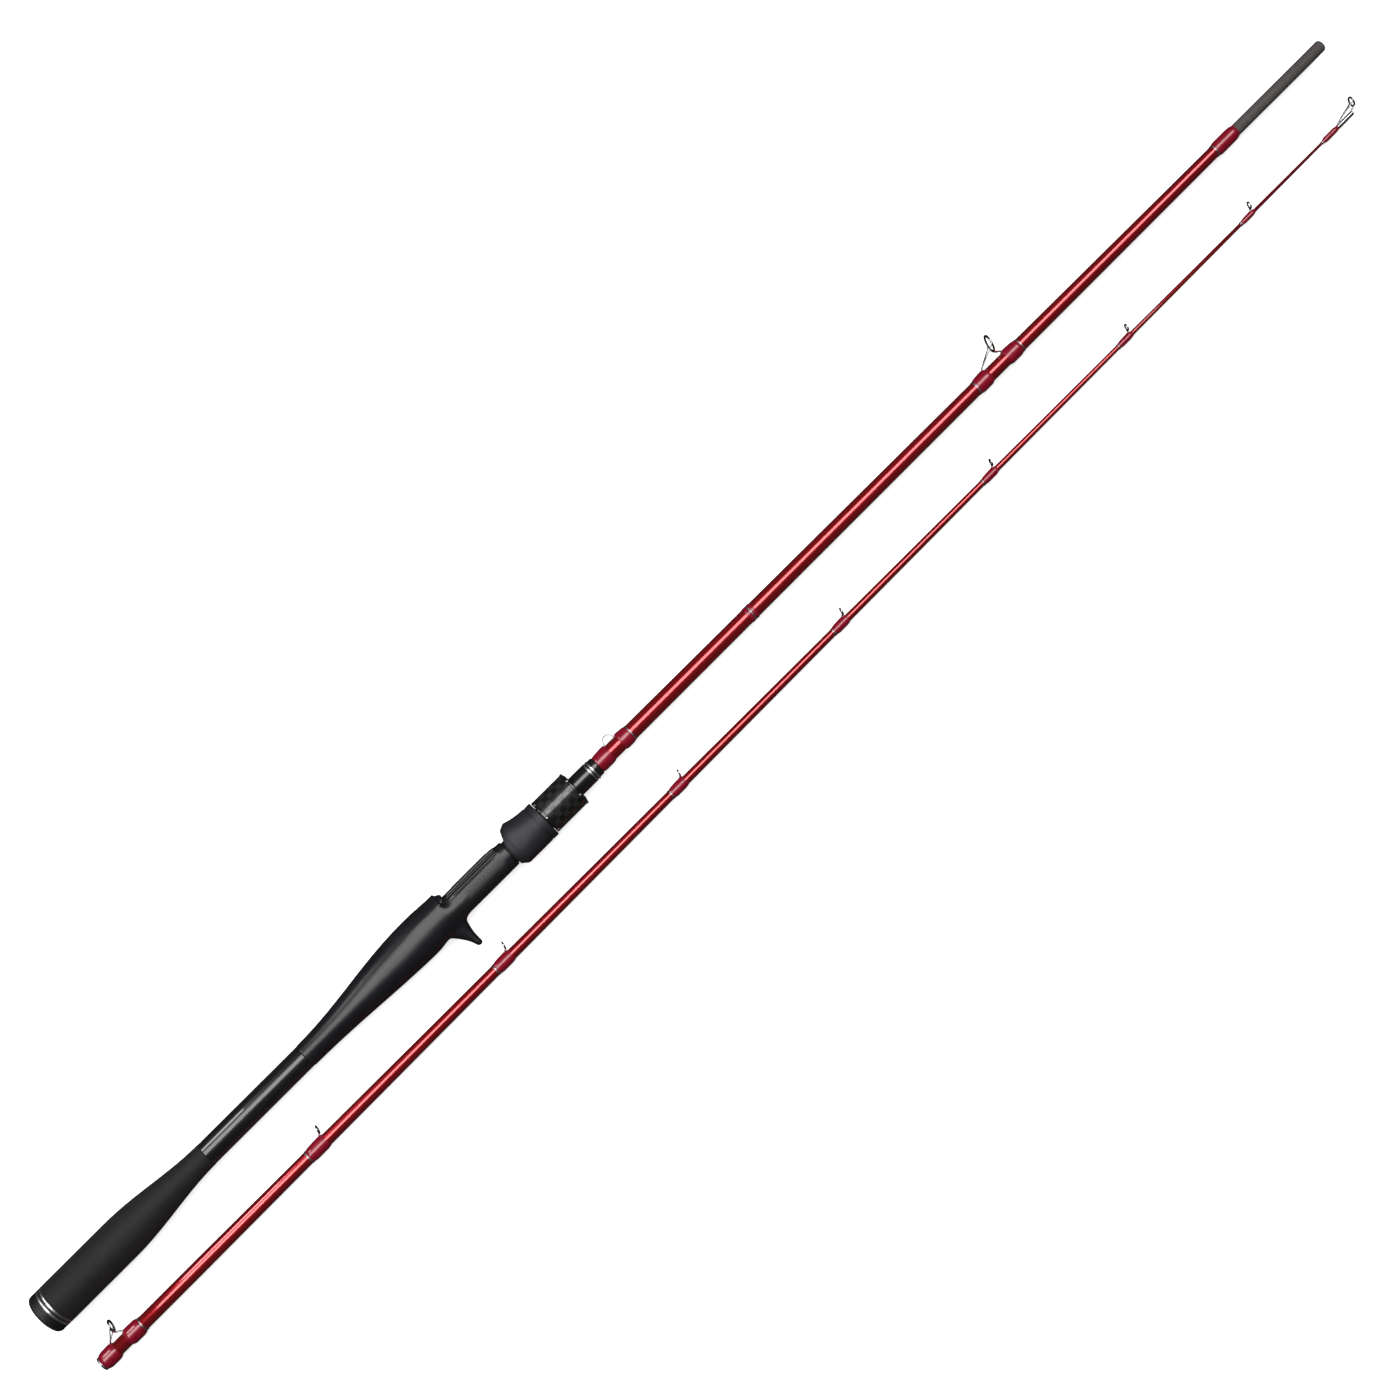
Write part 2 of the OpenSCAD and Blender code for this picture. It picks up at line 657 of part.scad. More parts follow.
// The hood's outer shape: highest a third of the way along, with its mouth cut back on a slope
module hood_shell() {
    peak = 10.5;
    mouth_slope = 67;
    difference() {
        loft(concat(
            [[hood_start, 12.2, hood_bore_r + 0.5, 12.4, 2.2],
             [hood_start + 1.8, 13.6, 12.2, 13.4, 2.3],
             [hood_start + 4.6, 15.3, hood_r - 0.3, 14.2, 2.4],
             [hood_start + 6.5, 16.3, hood_r, hood_r, 2.4],
             [hood_start + peak - 0.5, hood_peak - 0.1, hood_r, hood_r, 2.4]],
            [for (x = span(hood_start + peak, hood_end, 12))
                let (t = (x - hood_start - peak) / (hood_length - peak))
                [x, hood_r + (hood_peak - hood_r) * pow(1 - t, 2.6), hood_r, hood_r, 2.4 - 0.4 * t]]));
        translate([hood_start, 3, -20]) rotate([0, 0, mouth_slope]) cube([30, 20, 40]);
    }
}

module sliding_hood() {
    color("#2c2c30") difference() {
        hood_shell();
        translate([hood_start - 1, 0, 0]) rotate([0, 90, 0]) cylinder(r = hood_bore_r, h = hood_length + 2);
        prism(hood_start - 1, hood_start + hood_pocket, pocket_roof, hood_bore_r,
            deck_half_w + hood_side_gap, deck_power);
    }
}

module hood_bush() {
    x0 = hood_end - bush_length;
    color("dimgray") tube(x0, hood_end, hood_bore_r - bond, run_r);
}

module nut_core() {
    color("dimgray") tube(nut_start + end_ring_w + bond, nut_end - end_ring_w - bond, core_r, run_r);
}

module carbon_sleeve() {
    color("#3a3a40") tube(nut_start + end_ring_w + bond, nut_end - end_ring_w - bond,
        nut_d / 2 - 0.1, core_r + bond);
}

module studs(x, r, turn, depth, size) {
    for (i = [0 : stud_count - 1]) rotate([turn + 360 * i / stud_count, 0, 0])
        translate([x, 0, r - depth]) cylinder(d = size, h = depth + 0.2, $fn = 24);
}

module nut_rear_ring() {
    r = nut_d / 2;
    color("#18181a") difference() {
        turned([[nut_start, run_r], [nut_start, r - 0.5], [nut_start + 0.5, r],
            [nut_start + end_ring_w, r], [nut_start + end_ring_w, run_r]]);
        studs(rear_stud_x, r, 0, stud_depth, stud_d + 2 * bond);
    }
}

module nut_front_ring() {
    r = nut_d / 2;
    lip = run_r + 1.4;
    color("#18181a") difference() {
        turned([[nut_end - end_ring_w, run_r], [nut_end - end_ring_w, r], [nut_end - end_ring_w + 1.7, r],
            [nut_end, lip], [nut_end, run_r]]);
        studs(front_stud_x, r, 30, stud_depth, stud_d + 2 * bond);
    }
}

module nut_studs() {
    r = nut_d / 2;
    color("silver") {
        studs(rear_stud_x, r, 0, stud_depth - bond, stud_d);
        studs(front_stud_x, r, 30, stud_depth - bond, stud_d);
    }
}

// ---- Tip section ----

module tip_blank() {
    taper_start = socket_depth + 4;
    core = span(taper_start + 6, hollow_end, 3);
    inner = [for (i = [len(core) - 1 : -1 : 0]) [core[i], max(0.3, tip_blank_r(core[i]) - tip_wall)]];
    color("#b01820") on_tip() turned(concat(
        [[0, socket_r], [0, socket_d / 2], [taper_start, socket_d / 2],
         [tip_blank_length, tip_d / 2], [tip_blank_length, 0], [hollow_end, 0]],
        inner,
        [[socket_depth, tip_blank_r(taper_start + 6) - tip_wall], [socket_depth, socket_r]]));
}

module first_guide_frame() {
    color("silver") on_tip() on_butt() double_foot_frame(first_ring_d, first_x, first_ring_rise,
        first_rear_x, first_front_x, first_rear_x - 10, first_front_x + 10, socket_d / 2 + 2 * bond, 1.1);
}

module first_guide_ring() {
    color("gray") on_tip() on_butt() ring_place(first_x, first_ring_rise) ring_insert(first_ring_d, ring_depth);
}

module socket_wrap() {
    color("#8c0a28") difference() {
        on_tip() wrap_skin(tip_skin, band_w, first_rear_x + 1.2, socket_wrap_t);
        first_guide_frame();
    }
}

module first_guide_wrap() {
    color("#8c0a28") difference() {
        on_tip() wrap_skin(tip_skin, first_front_x - 1.2, first_wrap_end, socket_wrap_t);
        first_guide_frame();
    }
}

module guide_frame(i) {
    color("silver") on_tip() on_butt()
        single_foot_frame(small_ring_d[i], small_x(i), small_rise(i), small_foot[i], small_base(i));
}

module guide_ring(i) {
    color("gray") on_tip() on_butt()
        ring_place(small_x(i), small_rise(i)) ring_insert(small_ring_d[i], 1);
}

function small_wrap_x0(i) = small_x(i) - small_set - small_foot[i] - 1.2;

module guide_wrap(i) {
    cover = small_foot_t + wrap_cover + 3 * bond;
    color("#8c0a28") difference() {
        on_tip() wrap_skin(tip_skin, small_wrap_x0(i) + band_w,
            small_x(i) - small_set + 2.2, cover);
        guide_frame(i);
    }
}

module tip_bands() {
    color("silver") on_tip() {
        band(tip_skin, 0);
        band(tip_skin, first_wrap_end);
        for (i = [0 : len(small_foot) - 1]) band(tip_skin, small_wrap_x0(i));
        band(tip_skin, top_wrap_x - band_w);
    }
}

module tip_top_frame() {
    wire = 0.5;
    r = top_ring_d / 2;
    bottom = [top_x - r * sin(ring_lean), 0, top_ring_rise - (r - 0.3) * cos(ring_lean)];
    color("silver") on_tip() {
        difference() {
            tube(top_tube_x, top_tube_end + 1, top_tube_r, 0);
            turned([[top_tube_x - 1, 0], [top_tube_x - 1, tip_blank_r(top_tube_x) + bond],
                [top_tube_x, tip_blank_r(top_tube_x) + bond], [tip_blank_length + bond, tip_d / 2 + bond],
                [tip_blank_length + bond, 0]]);
        }
        on_butt() difference() {
            union() {
                ring_place(top_x, top_ring_rise) ring_frame(top_ring_d, 1.2);
                for (s = [-1, 1]) strut([top_tube_end - 0.5, s * 0.5, 0.4], bottom + [0, s * 0.9, 0.2], wire);
                for (s = [-1, 1])
                    strut([top_tube_x + 1.4, s * 0.3, top_tube_r - 0.1],
                        [top_x, s * (r - 0.3), top_ring_rise], wire);
            }
            ring_place(top_x, top_ring_rise) insert_space(top_ring_d, 1.2);
        }
    }
}

module tip_top_ring() {
    color("gray") on_tip() on_butt() ring_place(top_x, top_ring_rise) ring_insert(top_ring_d, 1.2);
}

module tip_top_wrap() {
    color("#8c0a28") on_tip() wrap_skin(tip_skin, top_wrap_x, top_tube_x - bond, 0.75);
}

// ---- What is drawn ----

butt_cap();
butt_plug();
trim_rings();
rear_grip();
gloss_tube();
arbors();
seat_body();
deck_plate();
fixed_hood_liner();
thread_barrel();
winding_check();
check_rings();
butt_blank();
male_ferrule();
hook_keeper();
keeper_wraps();
trim_wrap();
ferrule_wrap();
butt_guide_frame();
butt_guide_ring();
butt_guide_wraps();
butt_bands();
sliding_hood();
hood_bush();
nut_core();
carbon_sleeve();
nut_rear_ring();
nut_front_ring();
nut_studs();
tip_blank();
socket_wrap();
first_guide_frame();
first_guide_ring();
first_guide_wrap();
guide_frame(0);  // guide_1_frame
guide_frame(1);  // guide_2_frame
guide_frame(2);  // guide_3_frame
guide_frame(3);  // guide_4_frame
guide_frame(4);  // guide_5_frame
guide_frame(5);  // guide_6_frame
guide_frame(6);  // guide_7_frame
guide_ring(0);  // guide_1_ring
guide_ring(1);  // guide_2_ring
guide_ring(2);  // guide_3_ring
guide_ring(3);  // guide_4_ring
guide_ring(4);  // guide_5_ring
guide_ring(5);  // guide_6_ring
guide_ring(6);  // guide_7_ring
guide_wrap(0);  // guide_1_wrap
guide_wrap(1);  // guide_2_wrap
guide_wrap(2);  // guide_3_wrap
guide_wrap(3);  // guide_4_wrap
guide_wrap(4);  // guide_5_wrap
guide_wrap(5);  // guide_6_wrap
guide_wrap(6);  // guide_7_wrap
tip_bands();
tip_top_frame();
tip_top_ring();
tip_top_wrap();
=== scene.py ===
import bpy
import json
import math
from mathutils import Matrix, Vector


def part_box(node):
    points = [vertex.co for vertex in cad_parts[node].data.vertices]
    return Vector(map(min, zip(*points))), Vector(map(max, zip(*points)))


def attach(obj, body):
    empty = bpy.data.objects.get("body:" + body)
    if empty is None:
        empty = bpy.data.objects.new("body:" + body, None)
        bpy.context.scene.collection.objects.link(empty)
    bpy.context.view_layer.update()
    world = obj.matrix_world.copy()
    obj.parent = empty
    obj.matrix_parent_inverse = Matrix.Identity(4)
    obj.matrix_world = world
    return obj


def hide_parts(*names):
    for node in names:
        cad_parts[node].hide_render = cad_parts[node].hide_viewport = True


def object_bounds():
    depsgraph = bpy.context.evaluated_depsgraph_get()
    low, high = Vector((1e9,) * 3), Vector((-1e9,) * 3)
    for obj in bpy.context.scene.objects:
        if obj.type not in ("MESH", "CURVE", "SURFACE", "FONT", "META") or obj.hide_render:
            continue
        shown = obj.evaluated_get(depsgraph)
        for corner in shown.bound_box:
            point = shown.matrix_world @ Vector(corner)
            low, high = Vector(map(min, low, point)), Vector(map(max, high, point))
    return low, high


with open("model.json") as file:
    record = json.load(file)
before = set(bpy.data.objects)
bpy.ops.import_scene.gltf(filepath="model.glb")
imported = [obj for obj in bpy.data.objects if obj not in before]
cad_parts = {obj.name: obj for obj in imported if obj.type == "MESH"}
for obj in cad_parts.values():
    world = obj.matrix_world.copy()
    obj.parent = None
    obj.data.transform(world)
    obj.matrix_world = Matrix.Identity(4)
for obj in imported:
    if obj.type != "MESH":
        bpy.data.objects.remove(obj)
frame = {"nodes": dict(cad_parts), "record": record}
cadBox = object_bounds()
scene = bpy.context.scene
mm = 0.001
leanOfRings = math.radians(14)  # every guide ring leans this far towards the tip
print("frame loaded:", len(frame["nodes"]), "nodes")

buttAxis = (0.0, 0.0)  # y and z of the butt section's axis, mm
tipLow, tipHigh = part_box("tip_blank")
tipAxis = ((tipLow.y + tipHigh.y) / 2 / mm, (tipLow.z + tipHigh.z) / 2 / mm)


def span(node):  # where a frame node starts and ends along the rod, mm
    low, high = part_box(node)
    return low.x / mm, high.x / mm


def outerRadius(node):  # half of a frame node's height, mm
    low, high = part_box(node)
    return (high.z - low.z) / 2 / mm


def deselectAll():
    if bpy.context.object and bpy.context.object.mode != "OBJECT":
        bpy.ops.object.mode_set(mode="OBJECT")
    bpy.ops.object.select_all(action="DESELECT")


def pick(obj):
    deselectAll()
    obj.select_set(True)
    bpy.context.view_layer.objects.active = obj


def smoothByAngle(obj, degrees):
    pick(obj)
    bpy.ops.object.shade_smooth_by_angle(angle=math.radians(degrees))


def joined(name, parts):
    deselectAll()
    for part in parts:
        part.select_set(True)
    bpy.context.view_layer.objects.active = parts[0]
    if len(parts) > 1:
        bpy.ops.object.join()
    parts[0].name = name
    return parts[0]


# finishes, one function each
def newFinish(name):
    finish = bpy.data.materials.new(name)
    finish.use_nodes = True
    nodes, links = finish.node_tree.nodes, finish.node_tree.links
    return finish, nodes, links, nodes["Principled BSDF"]


def patternSpace(nodes, links, stretch=(1, 1, 1)):
    place = nodes.new("ShaderNodeTexCoord")
    mapping = nodes.new("ShaderNodeMapping")
    mapping.inputs["Scale"].default_value = stretch
    links.new(place.outputs["Object"], mapping.inputs["Vector"])
    return mapping.outputs["Vector"]


def noiseAt(nodes, links, where, scale, detail=3, roughness=0.5):
    noise = nodes.new("ShaderNodeTexNoise")
    noise.inputs["Scale"].default_value = scale
    noise.inputs["Detail"].default_value = detail
    noise.inputs["Roughness"].default_value = roughness
    links.new(where, noise.inputs["Vector"])
    return noise.outputs["Fac"]


def rampOf(nodes, links, value, stops):
    ramp = nodes.new("ShaderNodeValToRGB")
    ramp.color_ramp.elements[0].position = stops[0][0]
    ramp.color_ramp.elements[0].color = (*stops[0][1], 1)
    ramp.color_ramp.elements[1].position = stops[-1][0]
    ramp.color_ramp.elements[1].color = (*stops[-1][1], 1)
    for position, colour in stops[1:-1]:
        ramp.color_ramp.elements.new(position).color = (*colour, 1)
    links.new(value, ramp.inputs["Fac"])
    return ramp.outputs["Color"]


def rangeOf(nodes, links, value, low, high):
    remap = nodes.new("ShaderNodeMapRange")
    remap.inputs["To Min"].default_value = low
    remap.inputs["To Max"].default_value = high
    links.new(value, remap.inputs["Value"])
    return remap.outputs["Result"]


def paintWith(nodes, links, shader, value, low, high, lowAt=0.3, highAt=0.7):
    # base colour from one shade to another as value goes from lowAt to highAt
    links.new(rampOf(nodes, links, value, [(lowAt, low), (highAt, high)]), shader.inputs["Base Color"])


def bumpFrom(nodes, links, shader, height, strength, distance):
    bump = nodes.new("ShaderNodeBump")
    bump.inputs["Strength"].default_value = strength
    bump.inputs["Distance"].default_value = distance
    links.new(height, bump.inputs["Height"])
    links.new(bump.outputs["Normal"], shader.inputs["Normal"])


def waveAt(nodes, links, where, scale, direction="X"):
    wave = nodes.new("ShaderNodeTexWave")
    wave.wave_type = "BANDS"
    wave.bands_direction = direction
    wave.wave_profile = "SIN"
    wave.inputs["Scale"].default_value = scale
    links.new(where, wave.inputs["Vector"])
    return wave.outputs["Fac"]


def redBlank():  # candy red over metal flake
    finish, nodes, links, shader = newFinish("redBlank")
    fine = patternSpace(nodes, links)
    flake = nodes.new("ShaderNodeTexVoronoi")
    flake.inputs["Scale"].default_value = 4200
    links.new(fine, flake.inputs["Vector"])
    cloud = noiseAt(nodes, links, patternSpace(nodes, links, (0.08, 1, 1)), 260, 3)
    deep = rampOf(nodes, links, cloud, [(0.3, (0.44, 0.008, 0.014)), (0.7, (0.54, 0.014, 0.020))])
    # the metal flakes are real, but they are painted as pale pink dots in the base colour: a painted glint on
    # each flake
    paintedFlakeGlint = rampOf(nodes, links, flake.outputs["Distance"], [
        (0.0, (1, 0.30, 0.26)), (0.16, (0.55, 0.010, 0.02))])
    mix = nodes.new("ShaderNodeMix")
    mix.data_type = "RGBA"
    mix.inputs[0].default_value = 0.3
    links.new(deep, mix.inputs[6])
    links.new(paintedFlakeGlint, mix.inputs[7])
    links.new(mix.outputs[2], shader.inputs["Base Color"])
    shader.inputs["Metallic"].default_value = 0.72
    links.new(rangeOf(nodes, links, cloud, 0.24, 0.3), shader.inputs["Roughness"])
    shader.inputs["Coat Weight"].default_value = 1.0
    shader.inputs["Coat Roughness"].default_value = 0.08
    shader.inputs["Coat IOR"].default_value = 1.7
    bumpFrom(nodes, links, shader, noiseAt(nodes, links, fine, 900, 2), 0.05, 0.0002)
    return finish


def wrapCrimson():  # fine thread laid side by side, under varnish
    finish, nodes, links, shader = newFinish("wrapCrimson")
    along = patternSpace(nodes, links)
    thread = waveAt(nodes, links, along, 620)
    uneven = noiseAt(nodes, links, patternSpace(nodes, links, (1, 0.3, 0.3)), 900, 2)
    # the thread's own crimson, painted darker in the valleys between threads (the bump's low points) as
    # painted shade between the threads
    colour = rampOf(nodes, links, thread, [
        (0.0, (0.18, 0.0, 0.010)), (0.5, (0.38, 0.001, 0.024)), (1.0, (0.46, 0.004, 0.034))])
    tone = nodes.new("ShaderNodeMix")
    tone.data_type = "RGBA"
    tone.blend_type = "MULTIPLY"
    tone.inputs[0].default_value = 0.35
    links.new(colour, tone.inputs[6])
    shade = rampOf(nodes, links, uneven, [(0.35, (0.55, 0.55, 0.55)), (0.65, (1, 1, 1))])
    links.new(shade, tone.inputs[7])
    links.new(tone.outputs[2], shader.inputs["Base Color"])
    shader.inputs["Metallic"].default_value = 0.15
    shader.inputs["Roughness"].default_value = 0.4
    shader.inputs["Coat Weight"].default_value = 1.0
    shader.inputs["Coat Roughness"].default_value = 0.04
    shader.inputs["Coat IOR"].default_value = 1.56
    bumpFrom(nodes, links, shader, thread, 0.25, 0.00006)
    return finish


def silverTrim():
    finish, nodes, links, shader = newFinish("silverTrim")
    turning = noiseAt(nodes, links, patternSpace(nodes, links, (1, 0.02, 0.02)), 5200, 3)
    paintWith(nodes, links, shader, turning, (0.50, 0.50, 0.51), (0.68, 0.68, 0.69))
    shader.inputs["Metallic"].default_value = 1.0
    links.new(rangeOf(nodes, links, turning, 0.3, 0.42), shader.inputs["Roughness"])
    bumpFrom(nodes, links, shader, turning, 0.08, 0.00004)
    return finish


def guideSteel():
    finish, nodes, links, shader = newFinish("guideSteel")
    polish = noiseAt(nodes, links, patternSpace(nodes, links), 1500, 3)
    paintWith(nodes, links, shader, polish, (0.44, 0.44, 0.46), (0.60, 0.60, 0.61))
    shader.inputs["Metallic"].default_value = 1.0
    links.new(rangeOf(nodes, links, polish, 0.12, 0.26), shader.inputs["Roughness"])
    bumpFrom(nodes, links, shader, polish, 0.05, 0.00003)
    return finish


def ringCeramic():
    finish, nodes, links, shader = newFinish("ringCeramic")
    grain = noiseAt(nodes, links, patternSpace(nodes, links), 4000, 2)
    paintWith(nodes, links, shader, grain, (0.016, 0.016, 0.018), (0.04, 0.04, 0.043))
    links.new(rangeOf(nodes, links, grain, 0.1, 0.18), shader.inputs["Roughness"])
    shader.inputs["Specular IOR Level"].default_value = 0.8
    return finish


def gripFoam():  # closed-cell foam: fine speckle and a soft bloom
    finish, nodes, links, shader = newFinish("gripFoam")
    where = patternSpace(nodes, links)
    cells = nodes.new("ShaderNodeTexVoronoi")
    cells.inputs["Scale"].default_value = 1500
    links.new(where, cells.inputs["Vector"])
    patch = noiseAt(nodes, links, where, 90, 4, 0.6)
    # the speckle is darkest at the cell pits, the bump's low points: painted shade in the pits over the
    # foam's own black
    speckle = rampOf(nodes, links, cells.outputs["Distance"], [
        (0.0, (0.005, 0.0045, 0.005)), (0.35, (0.011, 0.0098, 0.0112)), (0.8, (0.018, 0.016, 0.0185))])
    shade = nodes.new("ShaderNodeMix")
    shade.data_type = "RGBA"
    shade.blend_type = "MULTIPLY"
    shade.inputs[0].default_value = 0.5
    links.new(speckle, shade.inputs[6])
    worn = rampOf(nodes, links, patch, [(0.35, (0.72, 0.72, 0.72)), (0.65, (1, 1, 1))])
    links.new(worn, shade.inputs[7])
    links.new(shade.outputs[2], shader.inputs["Base Color"])
    links.new(rangeOf(nodes, links, patch, 0.6, 0.75), shader.inputs["Roughness"])
    shader.inputs["Specular IOR Level"].default_value = 0.32
    shader.inputs["Sheen Weight"].default_value = 0.04
    bumpFrom(nodes, links, shader, cells.outputs["Distance"], 0.35, 0.00012)
    return finish


def capRubber():
    finish, nodes, links, shader = newFinish("capRubber")
    skin = noiseAt(nodes, links, patternSpace(nodes, links), 2600, 4, 0.6)
    paintWith(nodes, links, shader, skin, (0.006, 0.006, 0.007), (0.012, 0.012, 0.014))
    links.new(rangeOf(nodes, links, skin, 0.42, 0.58), shader.inputs["Roughness"])
    bumpFrom(nodes, links, shader, skin, 0.25, 0.00008)
    return finish


def glossBlack():  # lacquer over dark cloth
    finish, nodes, links, shader = newFinish("glossBlack")
    streak = noiseAt(nodes, links, patternSpace(nodes, links, (0.05, 1, 1)), 1400, 4)
    paintWith(nodes, links, shader, streak, (0.004, 0.004, 0.005), (0.012, 0.012, 0.014), 0.35)
    links.new(rangeOf(nodes, links, streak, 0.25, 0.4), shader.inputs["Roughness"])
    shader.inputs["Coat Weight"].default_value = 1.0
    shader.inputs["Coat Roughness"].default_value = 0.05
    bumpFrom(nodes, links, shader, noiseAt(nodes, links, patternSpace(nodes, links), 220, 2), 0.04, 0.0003)
    return finish


def seatBlack():  # moulded resin with a satin skin
    finish, nodes, links, shader = newFinish("seatBlack")
    where = patternSpace(nodes, links)
    skin = noiseAt(nodes, links, where, 3400, 3, 0.55)
    broad = noiseAt(nodes, links, where, 60, 3)
    paintWith(nodes, links, shader, broad, (0.008, 0.008, 0.010), (0.013, 0.013, 0.016))
    links.new(rangeOf(nodes, links, skin, 0.27, 0.36), shader.inputs["Roughness"])
    shader.inputs["Specular IOR Level"].default_value = 0.42
    shader.inputs["Coat Weight"].default_value = 0.15
    shader.inputs["Coat Roughness"].default_value = 0.2
    bumpFrom(nodes, links, shader, skin, 0.14, 0.00006)
    return finish


def hoodBlack():  # soft-touch paint
    finish, nodes, links, shader = newFinish("hoodBlack")
    where = patternSpace(nodes, links)
    skin = noiseAt(nodes, links, where, 3000, 3, 0.6)
    broad = noiseAt(nodes, links, where, 80, 3)
    paintWith(nodes, links, shader, broad, (0.014, 0.014, 0.018), (0.020, 0.020, 0.025))
    links.new(rangeOf(nodes, links, skin, 0.48, 0.6), shader.inputs["Roughness"])
    bumpFrom(nodes, links, shader, skin, 0.18, 0.00006)
    return finish


def threadBlack():
    finish, nodes, links, shader = newFinish("threadBlack")
    skin = noiseAt(nodes, links, patternSpace(nodes, links, (1, 0.2, 0.2)), 2200, 3)
    paintWith(nodes, links, shader, skin, (0.008, 0.008, 0.009), (0.015, 0.015, 0.017))
    links.new(rangeOf(nodes, links, skin, 0.34, 0.48), shader.inputs["Roughness"])
    bumpFrom(nodes, links, shader, skin, 0.12, 0.00005)
    return finish


def carbonWeave():  # chequered cloth of flat tows round the sleeve
    finish, nodes, links, shader = newFinish("carbonWeave")
    towWidth, towsRound = 4.4 * mm, 18
    place = nodes.new("ShaderNodeTexCoord")
    split = nodes.new("ShaderNodeSeparateXYZ")
    links.new(place.outputs["Object"], split.inputs["Vector"])
    turn = nodes.new("ShaderNodeMath")
    turn.operation = "ARCTAN2"
    links.new(split.outputs["Z"], turn.inputs[0])
    links.new(split.outputs["Y"], turn.inputs[1])
    around = nodes.new("ShaderNodeMath")
    around.operation = "MULTIPLY"
    around.inputs[1].default_value = towsRound / (2 * math.pi)
    links.new(turn.outputs[0], around.inputs[0])
    along = nodes.new("ShaderNodeMath")
    along.operation = "DIVIDE"
    along.inputs[1].default_value = towWidth
    links.new(split.outputs["X"], along.inputs[0])
    sheet = nodes.new("ShaderNodeCombineXYZ")
    links.new(along.outputs[0], sheet.inputs["X"])
    links.new(around.outputs[0], sheet.inputs["Y"])
    checks = nodes.new("ShaderNodeTexChecker")
    checks.inputs["Scale"].default_value = 1.0
    checks.inputs["Color1"].default_value = (1, 1, 1, 1)
    checks.inputs["Color2"].default_value = (0, 0, 0, 1)
    links.new(sheet.outputs["Vector"], checks.inputs["Vector"])
    lengthwise = waveAt(nodes, links, sheet.outputs["Vector"], 3.2, "Y")
    crosswise = waveAt(nodes, links, sheet.outputs["Vector"], 3.2, "X")
    fibre = nodes.new("ShaderNodeMix")
    fibre.data_type = "FLOAT"
    links.new(checks.outputs["Fac"], fibre.inputs[0])
    links.new(lengthwise, fibre.inputs[2])
    links.new(crosswise, fibre.inputs[3])
    fibreSheen = fibre.outputs[0]
    # the weave pattern is real, but dark and light are shaded and lit copies of the same black tows: one tow
    # direction is painted lighter as painted sheen, and the raised fibre lines are painted lighter as painted
    # sheen
    dark = rampOf(nodes, links, fibreSheen, [(0.0, (0.006, 0.006, 0.006)), (1.0, (0.014, 0.014, 0.014))])
    light = rampOf(nodes, links, fibreSheen, [(0.0, (0.022, 0.022, 0.021)), (1.0, (0.050, 0.050, 0.048))])
    cloth = nodes.new("ShaderNodeMix")
    cloth.data_type = "RGBA"
    links.new(checks.outputs["Fac"], cloth.inputs[0])
    links.new(dark, cloth.inputs[6])
    links.new(light, cloth.inputs[7])
    links.new(cloth.outputs[2], shader.inputs["Base Color"])
    shader.inputs["Metallic"].default_value = 0.4
    links.new(rangeOf(nodes, links, checks.outputs["Fac"], 0.36, 0.3), shader.inputs["Roughness"])
    shader.inputs["Coat Weight"].default_value = 1.0
    shader.inputs["Coat Roughness"].default_value = 0.06
    bumpFrom(nodes, links, shader, fibre.outputs[0], 0.3, 0.00008)
    return finish


def bareCarbon():  # ground carbon, fine rings round the ferrule
    finish, nodes, links, shader = newFinish("bareCarbon")
    grind = noiseAt(nodes, links, patternSpace(nodes, links, (1, 0.03, 0.03)), 3600, 4)
    paintWith(nodes, links, shader, grind, (0.078, 0.066, 0.066), (0.120, 0.104, 0.104))
    links.new(rangeOf(nodes, links, grind, 0.5, 0.62), shader.inputs["Roughness"])
    shader.inputs["Specular IOR Level"].default_value = 0.2
    bumpFrom(nodes, links, shader, grind, 0.15, 0.00006)
    return finish


def arborFoam():
    finish, nodes, links, shader = newFinish("arborFoam")
    grain = noiseAt(nodes, links, patternSpace(nodes, links), 1800, 4, 0.7)
    paintWith(nodes, links, shader, grain, (0.34, 0.25, 0.15), (0.55, 0.42, 0.27))
    shader.inputs["Roughness"].default_value = 0.9
    bumpFrom(nodes, links, shader, grain, 0.5, 0.0002)
    return finish


finishes = {
    "red_blank": redBlank(), "wrap_crimson": wrapCrimson(), "silver_trim": silverTrim(),
    "guide_steel": guideSteel(), "ring_ceramic": ringCeramic(), "grip_foam": gripFoam(),
    "cap_rubber": capRubber(), "gloss_black": glossBlack(), "seat_black": seatBlack(),
    "hood_black": hoodBlack(), "thread_black": threadBlack(), "carbon_weave": carbonWeave(),
    "bare_carbon": bareCarbon(), "arbor_foam": arborFoam()}
slotOf = {part["node"]: part["material_slot"] for part in frame["record"]["subparts"]}
for node, obj in frame["nodes"].items():
    obj.data.materials.clear()
    obj.data.materials.append(finishes[slotOf[node]])
print("finishes made:", len(finishes))


# ways of shaping a piece
def settle(obj, name, body, slotName, *nodes):  # a finished piece: in place, painted, riding on its body
    pick(obj)
    bpy.ops.object.transform_apply(location=True, rotation=True, scale=True)
    obj.name = name
    obj.data.name = name
    obj.data.materials.clear()
    obj.data.materials.append(finishes[slotName])
    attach(obj, body)
    if nodes:
        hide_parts(*nodes)
    return obj


